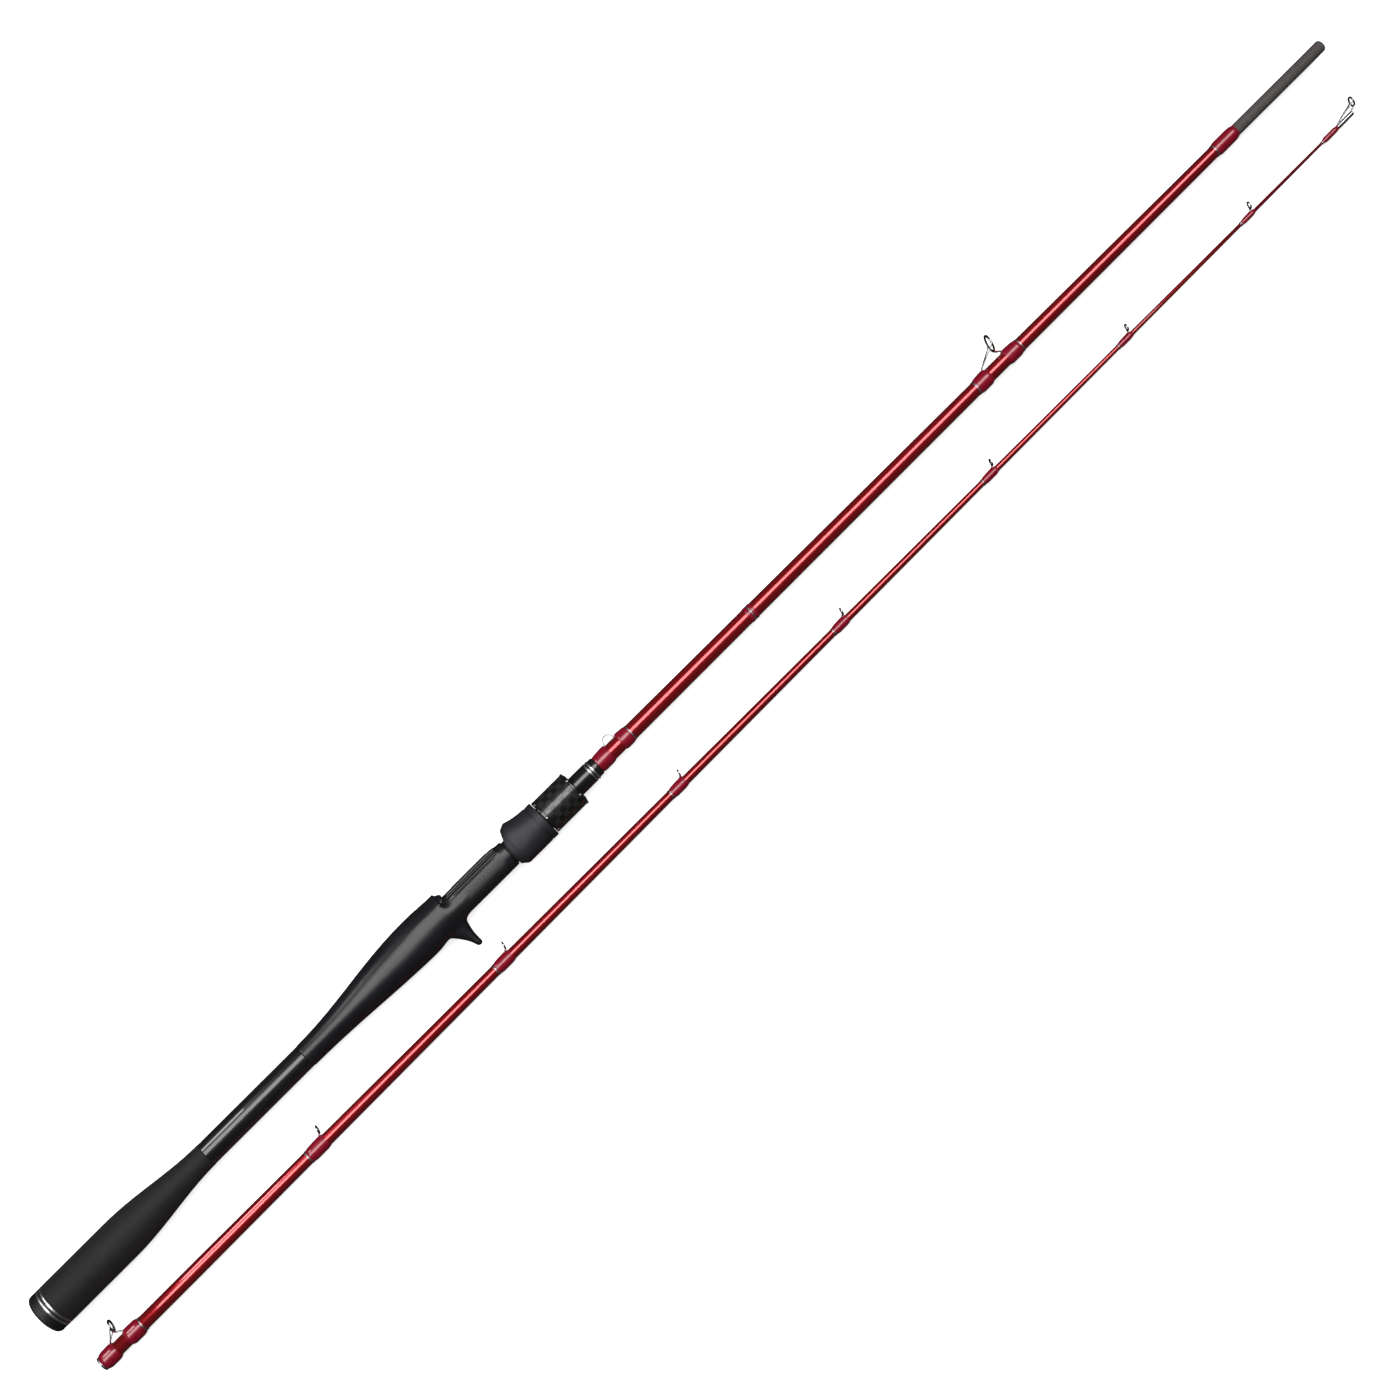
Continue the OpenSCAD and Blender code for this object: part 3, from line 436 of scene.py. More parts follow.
def turned(name, outline, axis=(0.0, 0.0), steps=64, closed=True, smooth=32):
    # outline is [x, radius] in mm; it is spun about a line along X
    deselectAll()
    x, r = outline[0]
    bpy.ops.mesh.primitive_plane_add(size=0.001, location=(x * mm, axis[0] * mm, (axis[1] + r) * mm))
    obj = bpy.context.object
    bpy.ops.object.mode_set(mode="EDIT")
    bpy.ops.mesh.select_all(action="SELECT")
    bpy.ops.mesh.merge(type="CENTER")
    corners = list(outline[1:]) + ([outline[0]] if closed and outline[0] != outline[-1] else [])
    for nextX, nextR in corners:
        step = ((nextX - x) * mm, 0, (nextR - r) * mm)
        bpy.ops.mesh.extrude_vertices_move(TRANSFORM_OT_translate={"value": step})
        x, r = nextX, nextR
    bpy.ops.mesh.select_all(action="SELECT")
    bpy.ops.mesh.spin(steps=steps, angle=2 * math.pi, center=(0, axis[0] * mm, axis[1] * mm), axis=(1, 0, 0))
    bpy.ops.mesh.select_all(action="SELECT")
    bpy.ops.mesh.remove_doubles(threshold=0.000003)
    bpy.ops.mesh.normals_make_consistent(inside=False)
    bpy.ops.object.mode_set(mode="OBJECT")
    bpy.ops.object.transform_apply(location=True, rotation=True, scale=True)
    obj.name = name
    smoothByAngle(obj, smooth)
    return obj


def rounded(x0, x1, rIn, rOut, edge, count=4):
    # outline of a ring whose two outer edges are rounded
    outline = [(x0, rIn)]
    for i in range(count + 1):
        a = math.radians(90 * i / count)
        outline.append((x0 + edge * (1 - math.cos(a)), rOut - edge * (1 - math.sin(a))))
    for i in range(count + 1):
        a = math.radians(90 * i / count)
        outline.append((x1 - edge * (1 - math.sin(a)), rOut - edge * (1 - math.cos(a))))
    outline.append((x1, rIn))
    return outline


def ease(t):
    t = min(1, max(0, t))
    return 0.5 - 0.5 * math.cos(math.pi * t)


def between(x, stations):  # radius of a taper at x
    if x <= stations[0][0]:
        return stations[0][1]
    for (xa, ra), (xb, rb) in zip(stations, stations[1:]):
        if x <= xb:
            return ra + (rb - ra) * (x - xa) / (xb - xa)
    return stations[-1][1]


def bar(name, size, place):
    # a block with softened edges; size and place in mm
    deselectAll()
    bpy.ops.mesh.primitive_cube_add(size=mm, location=[v * mm for v in place])
    obj = bpy.context.object
    obj.scale = size
    bpy.ops.object.transform_apply(location=True, rotation=True, scale=True)
    bpy.ops.object.mode_set(mode="EDIT")
    bpy.ops.mesh.select_all(action="SELECT")
    bpy.ops.mesh.bevel(offset=min(size) * mm * 0.28, segments=3, affect="EDGES")
    bpy.ops.object.mode_set(mode="OBJECT")
    obj.name = name
    smoothByAngle(obj, 40)
    return obj


def wire(name, points, radius, radii=None, flat=0.0):
    # a bent wire through points in metres; flat widens it sideways into a strip
    deselectAll()
    bpy.ops.curve.primitive_bezier_curve_add(radius=0.01, location=(0, 0, 0))
    obj = bpy.context.object
    curve = obj.data
    curve.splines.clear()
    line = curve.splines.new("NURBS")
    line.points.add(len(points) - 1)
    for i, (dot, point) in enumerate(zip(line.points, points)):
        dot.co = (*point, 1)
        dot.radius = radii[i] if radii else 1
    line.use_endpoint_u = True
    line.order_u = 3
    line.resolution_u = 8
    curve.dimensions = "3D"
    curve.bevel_depth = radius * mm
    curve.extrude = flat * mm
    curve.twist_mode = "Z_UP"
    curve.bevel_resolution = 4
    curve.use_fill_caps = True
    bpy.ops.object.convert(target="MESH")
    obj = bpy.context.object
    bpy.ops.object.mode_set(mode="EDIT")
    bpy.ops.mesh.select_all(action="SELECT")
    bpy.ops.mesh.remove_doubles(threshold=0.000001)
    bpy.ops.mesh.normals_make_consistent(inside=False)
    bpy.ops.object.mode_set(mode="OBJECT")
    obj.name = name
    smoothByAngle(obj, 50)
    return obj


def fused(obj, voxel, rounds):
    # joins overlapping shells into one skin and melts the corners between them
    pick(obj)
    remesh = obj.modifiers.new("skin", "REMESH")
    remesh.mode = "VOXEL"
    remesh.voxel_size = voxel * mm
    bpy.ops.object.modifier_apply(modifier=remesh.name)
    melt = obj.modifiers.new("melt", "SMOOTH")
    melt.factor = 0.5
    melt.iterations = rounds
    bpy.ops.object.modifier_apply(modifier=melt.name)
    smoothByAngle(obj, 180)


def softened(obj, weightOf, rounds):
    # smooths only where weightOf says so
    pick(obj)
    group = obj.vertex_groups.new(name="soften")
    for v in obj.data.vertices:
        weight = weightOf(v.co)
        if weight > 0.001:
            group.add([v.index], weight, "REPLACE")
    melt = obj.modifiers.new("soften", "SMOOTH")
    melt.factor = 0.5
    melt.iterations = rounds
    melt.vertex_group = group.name
    bpy.ops.object.modifier_apply(modifier=melt.name)
    bpy.ops.object.vertex_group_remove(all=True)


def copyOfNode(node, name):
    source = frame["nodes"][node]
    obj = bpy.data.objects.new(name, source.data.copy())
    scene.collection.objects.link(obj)
    pick(obj)
    bpy.ops.object.mode_set(mode="EDIT")
    bpy.ops.mesh.select_all(action="SELECT")
    bpy.ops.mesh.remove_doubles(threshold=0.000002)
    bpy.ops.object.mode_set(mode="OBJECT")
    return obj


def cutWith(obj, cutter):
    pick(obj)
    cut = obj.modifiers.new("cut", "BOOLEAN")
    cut.operation = "DIFFERENCE"
    cut.solver = "EXACT"
    cut.object = cutter
    bpy.ops.object.modifier_apply(modifier=cut.name)
    bpy.data.objects.remove(cutter)


# butt cap, trim rings, grip and tube
capLook = {"grooves": 4, "grooveDepth": 0.35, "groovePitch": 1.05, "rimRound": 2.5, "floor": 2.98}
gripHole = 7.03  # clear of the blank that runs through the handle
capEnd = span("butt_cap")[1]
gripStart, gripEnd = span("rear_grip")
ringStart, ringEnd = span("trim_rings")
gripR = outerRadius("rear_grip")
capR = gripR - 0.05
ringWidth = 1.7
rimRound, grooveR = capLook["rimRound"], capR - capLook["grooveDepth"]
capFace = [(0.4, 0.0), (0.4, capR * 0.34), (0.15, capR * 0.40), (0.0, capR * 0.44)]
capRim = []
for a in range(90, -1, -9):
    turn = math.radians(a)
    capRim.append((rimRound * (1 - math.sin(turn)), capR - rimRound * (1 - math.cos(turn))))
capSide = []
for k in range(capLook["grooves"]):
    at = rimRound + 0.6 + k * capLook["groovePitch"]
    capSide += [(at, capR), (at + 0.15, grooveR), (at + 0.4, grooveR), (at + 0.55, capR)]
neckR = capR - 1.1  # carries the trim rings
capBack = [(ringStart - 0.02, capR), (ringStart - 0.02, neckR), (capEnd, neckR), (capEnd, gripHole),
           (capLook["floor"], gripHole), (capLook["floor"], 0.0)]
cap = turned("ButtCap", capFace + capRim + capSide + capBack, closed=False, steps=96)
settle(cap, "ButtCap", "butt_section", "cap_rubber", "butt_cap")

rings = [turned("ring", rounded(x, x + ringWidth, gripR - 1.15, gripR, 0.35))
         for x in (ringStart, ringEnd - ringWidth)]
settle(joined("TrimRings", rings), "TrimRings", "butt_section", "silver_trim", "trim_rings")

glossR = outerRadius("gloss_tube")
gripLook = {"taper": 82.0, "stations": 24, "backRound": 1.6, "backDrop": 0.7}
gripOutline = [(gripStart, gripHole), (gripStart, gripR - gripLook["backDrop"])]
for t in (0.15, 0.35, 0.6, 1.0):
    drop = gripLook["backDrop"] * (1 - math.sqrt(1 - (1 - t) ** 2))
    gripOutline.append((gripStart + gripLook["backRound"] * t, gripR - drop))
for i in range(gripLook["stations"] + 1):
    t = i / gripLook["stations"]
    x = min(gripEnd - gripLook["taper"] * (1 - t), gripEnd - 0.4)
    gripOutline.append((x, gripR - (gripR - glossR - 0.15) * ease(t)))
gripOutline += [(gripEnd, glossR - 0.3), (gripEnd, gripHole)]
settle(turned("RearGrip", gripOutline, steps=96), "RearGrip", "butt_section", "grip_foam", "rear_grip")

tubeStart, tubeEnd = span("gloss_tube")
tubeHole = 7.32
settle(turned("GlossTube", rounded(tubeStart, tubeEnd, tubeHole, glossR, 0.25), steps=96),
       "GlossTube", "butt_section", "gloss_black", "gloss_tube")
print("handle made")

# reel seat with its thread and winding check
seatLook = {"voxel": 0.5, "meltRounds": 7, "saddleRounds": 520,
            "grooveR": 0.6, "grooveX": 390, "grooveLength": 46, "grooveY": 4.9, "grooveReach": 9.25,
            "railDeep": 3.0,  # and each rail's height, width, reach, start and end
            "rails": [(9.7, 2.4, 8.1, 391, 437), (6.6, 2.0, 9.0, 388, 437)]}
seat = copyOfNode("seat_body", "HandleMoulding")
seatParts = [seat]
for side in (-1, 1):
    for height, width, reach, startX, endX in seatLook["rails"]:
        railSize = (endX - startX, width, seatLook["railDeep"])
        railPlace = ((startX + endX) / 2, height, side * (reach - seatLook["railDeep"] / 2))
        seatParts.append(bar("rail", railSize, railPlace))
seat = joined("HandleMoulding", seatParts)
fused(seat, seatLook["voxel"], seatLook["meltRounds"])
mouthX = span("fixed_hood_liner")[1]


def saddleWeight(co):  # how much the palm swell is melted into the deck and the trigger's root
    x, y = co.x / mm - mouthX, co.y / mm
    along = ease((x + 34) / 16) * ease((18 - x) / 9)
    upper = ease((9.5 - max(0, x) * 0.22 - y) / 3.5)
    lower = ease((y + 15) / 5)
    return along * upper * lower


softened(seat, saddleWeight, seatLook["saddleRounds"])
grooveX, grooveLength = seatLook["grooveX"], seatLook["grooveLength"]
for side in (-1, 1):
    points = [Vector((grooveX + grooveLength * t, seatLook["grooveY"], side * seatLook["grooveReach"])) * mm
              for t in (0, 0.04, 0.5, 0.96, 1)]
    cutWith(seat, wire("groove", points, seatLook["grooveR"], [0.2, 1, 1, 1, 0.2]))
smoothByAngle(seat, 40)
settle(seat, "HandleMoulding", "butt_section", "seat_black", "seat_body")
print("seat skin:", len(seat.data.polygons), "faces")

plateLow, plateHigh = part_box("deck_plate")
plateSize = [(b - a) / mm for a, b in zip(plateLow, plateHigh)]
plate = bar("DeckPlate", plateSize, [(a + b) / 2 / mm for a, b in zip(plateLow, plateHigh)])
settle(plate, "DeckPlate", "butt_section", "hood_black", "deck_plate")

barrelStart, barrelEnd = span("thread_barrel")
threadLook = {"pitch": 2.0, "depth": 0.55, "hole": 7.3, "tailR": 8.58}
seatFront = span("seat_body")[1]
rootR = outerRadius("thread_barrel") - threadLook["depth"]
core = turned("core", [(barrelStart, threadLook["hole"]), (barrelStart, threadLook["tailR"]),
                       (seatFront + 0.02, threadLook["tailR"]), (seatFront + 0.02, rootR),
                       (barrelEnd - 0.5, rootR), (barrelEnd, 8.6), (barrelEnd, threadLook["hole"])])
deselectAll()
turns = int((barrelEnd - seatFront - 3) / threadLook["pitch"])
bpy.ops.mesh.primitive_plane_add(size=0.001, location=((seatFront + 1) * mm, 0, (rootR - 0.1) * mm))
ridge = bpy.context.object
bpy.ops.object.mode_set(mode="EDIT")
bpy.ops.mesh.select_all(action="SELECT")
bpy.ops.mesh.merge(type="CENTER")
for dx, dr in ((0.45, threadLook["depth"] + 0.1), (0.3, 0), (0.45, -threadLook["depth"] - 0.1), (-1.2, 0)):
    bpy.ops.mesh.extrude_vertices_move(TRANSFORM_OT_translate={"value": (dx * mm, 0, dr * mm)})
bpy.ops.mesh.select_all(action="SELECT")
bpy.ops.mesh.remove_doubles(threshold=0.000002)
bpy.ops.object.mode_set(mode="OBJECT")
bpy.ops.object.transform_apply(location=True, rotation=True, scale=True)
helix = ridge.modifiers.new("helix", "SCREW")
helix.axis = "X"
helix.screw_offset = threadLook["pitch"] * mm
helix.iterations = turns
helix.steps = helix.render_steps = 48
helix.use_merge_vertices = False
bpy.ops.object.modifier_apply(modifier=helix.name)
bpy.ops.object.mode_set(mode="EDIT")
bpy.ops.mesh.select_all(action="SELECT")
bpy.ops.mesh.fill_holes(sides=8)
bpy.ops.mesh.normals_make_consistent(inside=False)
bpy.ops.object.mode_set(mode="OBJECT")
smoothByAngle(ridge, 30)
settle(joined("ThreadedBarrel", [core, ridge]), "ThreadedBarrel",
       "butt_section", "thread_black", "thread_barrel")

checkStart, checkEnd = span("winding_check")
checkR = outerRadius("winding_check")
checkLook = {"noseLength": 8.0, "noseDrop": 0.5, "ringPitch": 2.4, "ringWidth": 1.4}
noseX, noseR = checkEnd - checkLook["noseLength"], checkR - checkLook["noseDrop"]
check = [(checkStart, 6.4), (checkStart, checkR - 0.3), (checkStart + 0.3, checkR),
         (noseX - 0.2, checkR), (noseX, checkR - 0.2), (noseX, noseR),
         (checkEnd - 0.6, noseR), (checkEnd, checkR - 1.0), (checkEnd, 6.25)]
settle(turned("WindingCheck", check, steps=96), "WindingCheck",
       "butt_section", "gloss_black", "winding_check")
checkRings = []
for k in (0, 1):
    x = noseX + checkLook["ringPitch"] * k
    band = rounded(x, x + checkLook["ringWidth"], noseR + 0.02, checkR + 0.1, 0.25)
    checkRings.append(turned("ring", band, steps=96))
settle(joined("CheckRings", checkRings), "CheckRings", "butt_section", "silver_trim", "check_rings")
print("reel seat made")

# sliding hood and lock nut
hoodLook = {"voxel": 0.45, "meltRounds": 6, "collarIn": 5.6, "collarWidth": 0.55, "collarR": 14.35}
hood = copyOfNode("sliding_hood", "SlidingHood")
hoodEnd = span("sliding_hood")[1]
fused(hood, hoodLook["voxel"], hoodLook["meltRounds"])
collarX, collarR, beyond = hoodEnd - hoodLook["collarIn"], hoodLook["collarR"], 19.0
collarFar = collarX + hoodLook["collarWidth"]
collar = [(collarX, collarR), (collarX, beyond), (collarFar, beyond), (collarFar, collarR)]
cutWith(hood, turned("collar", collar, steps=96))
smoothByAngle(hood, 40)
settle(hood, "SlidingHood", "hood", "hood_black", "sliding_hood")
print("hood skin:", len(hood.data.polygons), "faces")

nutR = outerRadius("nut_rear_ring")
sleeveStart, sleeveEnd = span("carbon_sleeve")
sleeveR = outerRadius("carbon_sleeve")
settle(turned("CarbonSleeve", rounded(sleeveStart, sleeveEnd, sleeveR - 0.98, sleeveR, 0.2), steps=128),
       "CarbonSleeve", "lock_nut", "carbon_weave", "carbon_sleeve")
rearStart, rearEnd = span("nut_rear_ring")
frontStart, frontEnd = span("nut_front_ring")
runR = 9.66  # the nut's running bore
rearOutline = [(rearStart, runR), (rearStart, nutR - 0.7), (rearStart + 0.2, nutR - 0.25),
               (rearStart + 0.7, nutR), (rearEnd - 0.3, nutR), (rearEnd, nutR - 0.25), (rearEnd, runR)]
settle(turned("NutRearRing", rearOutline, steps=128),
       "NutRearRing", "lock_nut", "gloss_black", "nut_rear_ring")
frontOutline = [(frontStart, runR), (frontStart, nutR - 0.25), (frontStart + 0.3, nutR),
                (frontStart + 1.4, nutR), (frontStart + 1.8, nutR - 0.35),
                (frontEnd - 0.25, runR + 1.6), (frontEnd, runR + 1.2), (frontEnd, runR)]
settle(turned("NutFrontRing", frontOutline, steps=128),
       "NutFrontRing", "lock_nut", "gloss_black", "nut_front_ring")
studLook = {"count": 6, "r": 0.95, "rise": 0.45,
            "rearIn": 1.3, "frontIn": 1.7, "rearTurn": 6, "frontTurn": -32}
studs = []
studAt = nutR - 0.02
for x, turnBy in ((rearStart + studLook["rearIn"], studLook["rearTurn"]),
                  (frontEnd - studLook["frontIn"], studLook["frontTurn"])):
    for i in range(studLook["count"]):
        a = math.radians(turnBy + 360 * i / studLook["count"])
        place = Vector((x, -math.sin(a) * studAt, math.cos(a) * studAt)) * mm
        deselectAll()
        bpy.ops.mesh.primitive_uv_sphere_add(segments=20, ring_count=12, radius=studLook["r"] * mm,
                                             location=place, rotation=(a, 0, 0))
        stud = bpy.context.object
        stud.scale = (1, 1, studLook["rise"])
        bpy.ops.object.transform_apply(location=True, rotation=True, scale=True)
        smoothByAngle(stud, 60)
        studs.append(stud)
settle(joined("NutStuds", studs), "NutStuds", "lock_nut", "silver_trim", "nut_studs")
print("nut made")

# the two blanks and the ferrule
blankLook = {"wall": 1.4, "tipWall": 0.8, "solidTip": 0.14, "socketR": 5.2, "boreR": 4.64, "tipR": 0.95}
buttTaper = [(3, 7.0), (246, 6.9), (529.4, 6.2), (941.5, 5.3), (1182.5, 4.6)]
buttEnd = span("butt_blank")[1]
inner = [(x, r - blankLook["wall"]) for x, r in reversed(buttTaper)]
settle(turned("ButtBlank", buttTaper + inner, steps=96, smooth=60), "ButtBlank",
       "butt_section", "red_blank", "butt_blank")

ferruleEnd = span("male_ferrule")[1]
ferruleLook = {"r": 4.6, "glued": 40, "gluedR": 3.15, "hole": 0.8}
ferruleR, gluedX = ferruleLook["r"], buttEnd - ferruleLook["glued"]
ferrule = [(gluedX, ferruleLook["hole"]), (gluedX, ferruleLook["gluedR"]),
           (buttEnd + 0.02, ferruleLook["gluedR"]), (buttEnd + 0.02, ferruleR - 0.1),
           (buttEnd + 0.5, ferruleR), (ferruleEnd - 1.6, ferruleR), (ferruleEnd - 0.7, ferruleR - 0.35),
           (ferruleEnd - 0.15, ferruleR - 0.95), (ferruleEnd, ferruleR - 1.6),
           (ferruleEnd, ferruleLook["hole"])]
settle(turned("MaleFerrule", ferrule, steps=96), "MaleFerrule", "butt_section", "bare_carbon", "male_ferrule")

socketX, socketFar = span("tip_blank")
socketR, boreR, tipR = blankLook["socketR"], blankLook["boreR"], blankLook["tipR"]
taperStart, hollowStart, boreEnd = socketX + 93, socketX + 99, socketX + 89
tipTaper = [(socketX, socketR), (taperStart, socketR), (socketFar, tipR)]
hollowEnd = socketFar - (socketFar - socketX) * blankLook["solidTip"]
tipOutline = [(socketX, boreR), (socketX, socketR - 0.15), (socketX + 0.15, socketR), (taperStart, socketR)]
for t in (0.25, 0.5, 0.75):
    x = taperStart + (socketFar - taperStart) * t
    tipOutline.append((x, between(x, tipTaper)))
tipOutline += [(socketFar - 0.1, tipR), (socketFar, tipR - 0.15), (socketFar, 0.0), (hollowEnd, 0.0)]
for x in (hollowEnd, (hollowEnd + hollowStart) / 2, hollowStart):
    tipOutline.append((x, max(0.3, between(x, tipTaper) - blankLook["tipWall"])))
tipOutline += [(boreEnd, between(hollowStart, tipTaper) - blankLook["tipWall"]), (boreEnd, boreR)]
settle(turned("TipBlank", tipOutline, tipAxis, steps=64, smooth=60), "TipBlank",
       "tip_section", "red_blank", "tip_blank")
print("blanks made")


# thread wraps and silver bands
def wrapOver(name, x0, x1, taper, axis, cover, foot=None):
    # varnished thread; foot = (start, end, lift) raises it over a guide foot on the reel side
    outline = [(x0, between(x0, taper) - 0.05)]
    count = 26
    for i in range(count + 1):
        t = i / count
        x = x0 + (x1 - x0) * t
        edge = min(x - x0, x1 - x) / max(1.3, min(4.5, (x1 - x0) * 0.3))
        swell = (1 - (1 - min(1, edge)) ** 2.4)
        outline.append((x, between(x, taper) + 0.06 + (cover - 0.06) * swell))
    outline.append((x1, between(x1, taper) - 0.05))
    obj = turned(name, outline, axis, steps=64, smooth=50)
    if foot:
        start, end, lift = foot
        for v in obj.data.vertices:
            dy, dz = v.co.y - axis[0] * mm, v.co.z - axis[1] * mm
            r = math.hypot(dy, dz)
            if r < between(v.co.x / mm, taper) * mm:
                continue
            off = abs(math.degrees(math.atan2(dz, dy)))
            hump = ease((46 - off) / 30)
            t = (v.co.x / mm - start) / (end - start)
            along = ease(t * 1.15)
            rim = min(1, max(0, min(v.co.x / mm - x0, x1 - v.co.x / mm) / 0.9))
            rise = lift * hump * along * (0.35 + 0.65 * rim) * mm
            v.co.y += rise * dy / r
            v.co.z += rise * dz / r
    return obj


def bandOver(name, x0, taper, axis, width=1.1, threads=4):
    # metallic threads side by side
    base = max(between(x0, taper), between(x0 + width, taper))
    outline = [(x0, base + 0.01)]
    pitch = width / threads
    for k in range(threads):
        for i in range(5):
            a = math.pi * i / 4
            across = pitch * (k + 0.5 - 0.5 * math.cos(a))
            outline.append((x0 + across, base + 0.2 + 0.14 * math.sin(a)))
    outline.append((x0 + width, base + 0.01))
    return turned(name, outline, axis, steps=48, smooth=50)


keepStart, keepEnd = span("keeper_wraps")
keeperX = (span("hook_keeper")[0] + span("hook_keeper")[1]) / 2
keeperHalf = 4.7
wrapLook = {"keeper": 0.8, "butt": 0.95, "first": 1.4, "small": 0.7,
            "ferrule": 0.95, "trim": 0.4, "top": 1.15,
            "keeperLift": 0.5, "buttLift": 0.4, "firstLift": 0.2, "smallLift": 0.3, "trimWidth": 2.8}
rearLoop, frontLoop = keeperX - keeperHalf, keeperX + keeperHalf
keepWraps = [wrapOver("wrap", keepStart, rearLoop - 0.4, buttTaper, buttAxis, wrapLook["keeper"],
                      (keepStart + 2, rearLoop, wrapLook["keeperLift"])),
             wrapOver("wrap", frontLoop + 0.4, keepEnd, buttTaper, buttAxis, wrapLook["keeper"],
                      (keepEnd - 2, frontLoop, wrapLook["keeperLift"]))]
settle(joined("KeeperWraps", keepWraps), "KeeperWraps", "butt_section", "wrap_crimson", "keeper_wraps")
trimStart, trimEnd = span("trim_wrap")
trimWidth = wrapLook["trimWidth"]
trims = [wrapOver("wrap", x, x + trimWidth, buttTaper, buttAxis, wrapLook["trim"])
         for x in (trimStart, trimEnd - trimWidth)]
settle(joined("TrimWrap", trims), "TrimWrap", "butt_section", "wrap_crimson", "trim_wrap")
endStart, endEnd = span("ferrule_wrap")
settle(wrapOver("FerruleWrap", endStart, endEnd, buttTaper, buttAxis, wrapLook["ferrule"]), "FerruleWrap",
       "butt_section", "wrap_crimson", "ferrule_wrap")
backStart, frontEndOfWraps = span("butt_guide_wraps")
guideX = 941.5
rearLeg, frontLeg = guideX - 18, guideX + 2
rearToe, frontToe = rearLeg - 11.2, frontLeg + 11.7
buttWraps = [wrapOver("wrap", backStart, rearLeg + 1.5, buttTaper, buttAxis, wrapLook["butt"],
                      (rearToe, rearLeg, wrapLook["buttLift"])),
             wrapOver("wrap", frontLeg - 1.5, frontEndOfWraps, buttTaper, buttAxis, wrapLook["butt"],
                      (frontToe, frontLeg, wrapLook["buttLift"]))]
settle(joined("ButtGuideWraps", buttWraps), "ButtGuideWraps",
       "butt_section", "wrap_crimson", "butt_guide_wraps")
bandPlaces = [keepEnd, trimStart + trimWidth, backStart - 1.2, frontEndOfWraps, endStart - 1.2]
bands = [bandOver("band", x, buttTaper, buttAxis) for x in bandPlaces]
settle(joined("ButtBands", bands), "ButtBands", "butt_section", "silver_trim", "butt_bands")

# line guides, tip-top and hook keeper
def placeAt(x, side, up, axis):  # from a guide's own x, sideways and upward distances to the rod
    return Vector((x, axis[0] + up, axis[1] - side)) * mm


def ringPair(od, depth, x, rise, axis):
    # metal ring and hard insert, leaned towards the tip
    wall = 0.35 + od * 0.04
    lip = 0.35 + od * 0.05
    r = od / 2
    h = depth / 2
    metal = rounded(-h, h, r - wall, r, 0.3, 5)
    inner = r - wall - 0.02
    hard = [(h + 0.1, inner)]
    for a in range(20, 161, 14):
        turn = math.radians(a)
        hard.append(((h + 0.1) * math.cos(turn), inner - lip * math.sin(turn) ** 0.8))
    hard.append((-h - 0.1, inner))
    pair = [turned("metalRing", metal, steps=72), turned("hardRing", hard, steps=72, smooth=60)]
    for obj in pair:
        obj.rotation_euler = (0, 0, -leanOfRings)
        obj.location = placeAt(x, 0, rise, axis)
        pick(obj)
        bpy.ops.object.transform_apply(location=True, rotation=True, scale=True)
    return pair


def footUnder(x0, x1, base, thick, width, axis):
    # flat guide foot that thins towards x0
    foot = bar("foot", (abs(x1 - x0), thick, width), placeAt((x0 + x1) / 2, 0, base + thick / 2, axis) / mm)
    for v in foot.data.vertices:
        t = (v.co.x / mm - x0) / (x1 - x0)
        low = (axis[0] + base) * mm
        v.co.y = low + (v.co.y - low) * (0.35 + 0.65 * t)
        v.co.z = axis[1] * mm + (v.co.z - axis[1] * mm) * (0.55 + 0.45 * min(1, t * 1.6))
    return foot


def twoFooted(name, od, x, rise, rear, front, rearToe, frontToe, base, wireD, axis):
    r = od / 2
    top = base + 0.7
    metal, hard = ringPair(od, 1.3, x, rise, axis)
    parts = [metal]
    drop = math.cos(leanOfRings)
    ringFoot = x - (r - 0.2) * math.sin(leanOfRings)
    for s in (-1, 1):
        rearPath = [(rear - 2.2, s * 0.75, top - 0.25), (rear - 0.6, s * 0.75, top - 0.1),
                    (rear + 0.8, s * 0.95, top + 0.9),
                    (rear + (x - rear) * 0.55, s * r * 0.72, base + (rise - base) * 0.55),
                    (x - 1.6, s * (r - 0.12), rise - 1.8), (x - 0.15, s * (r - 0.05), rise - 0.2),
                    (x + 0.55, s * (r - 0.2), rise + 1.4)]
        frontPath = [(front + 2.2, s * 0.6, top - 0.25), (front + 0.7, s * 0.6, top - 0.1),
                     (front - 0.2, s * 0.7, top + 0.8), (ringFoot + 0.1, s * 1.0, rise - r * drop - 0.1),
                     (ringFoot + 0.1, s * 2.1, rise - (r - 0.25) * drop + 0.35)]
        parts.append(wire("leg", [placeAt(*point, axis) for point in rearPath],
                          wireD * 0.3, [0.9, 1, 1, 1, 1, 0.95, 0.55], wireD * 0.42))
        parts.append(wire("leg", [placeAt(*point, axis) for point in frontPath],
                          wireD / 2, [0.9, 1, 1, 0.95, 0.6]))
    parts.append(footUnder(rearToe, rear + wireD / 2, base, 0.78, 2.5, axis))
    parts.append(footUnder(frontToe, front - wireD / 2, base, 0.78, 2.5, axis))
    return joined(name, parts), hard


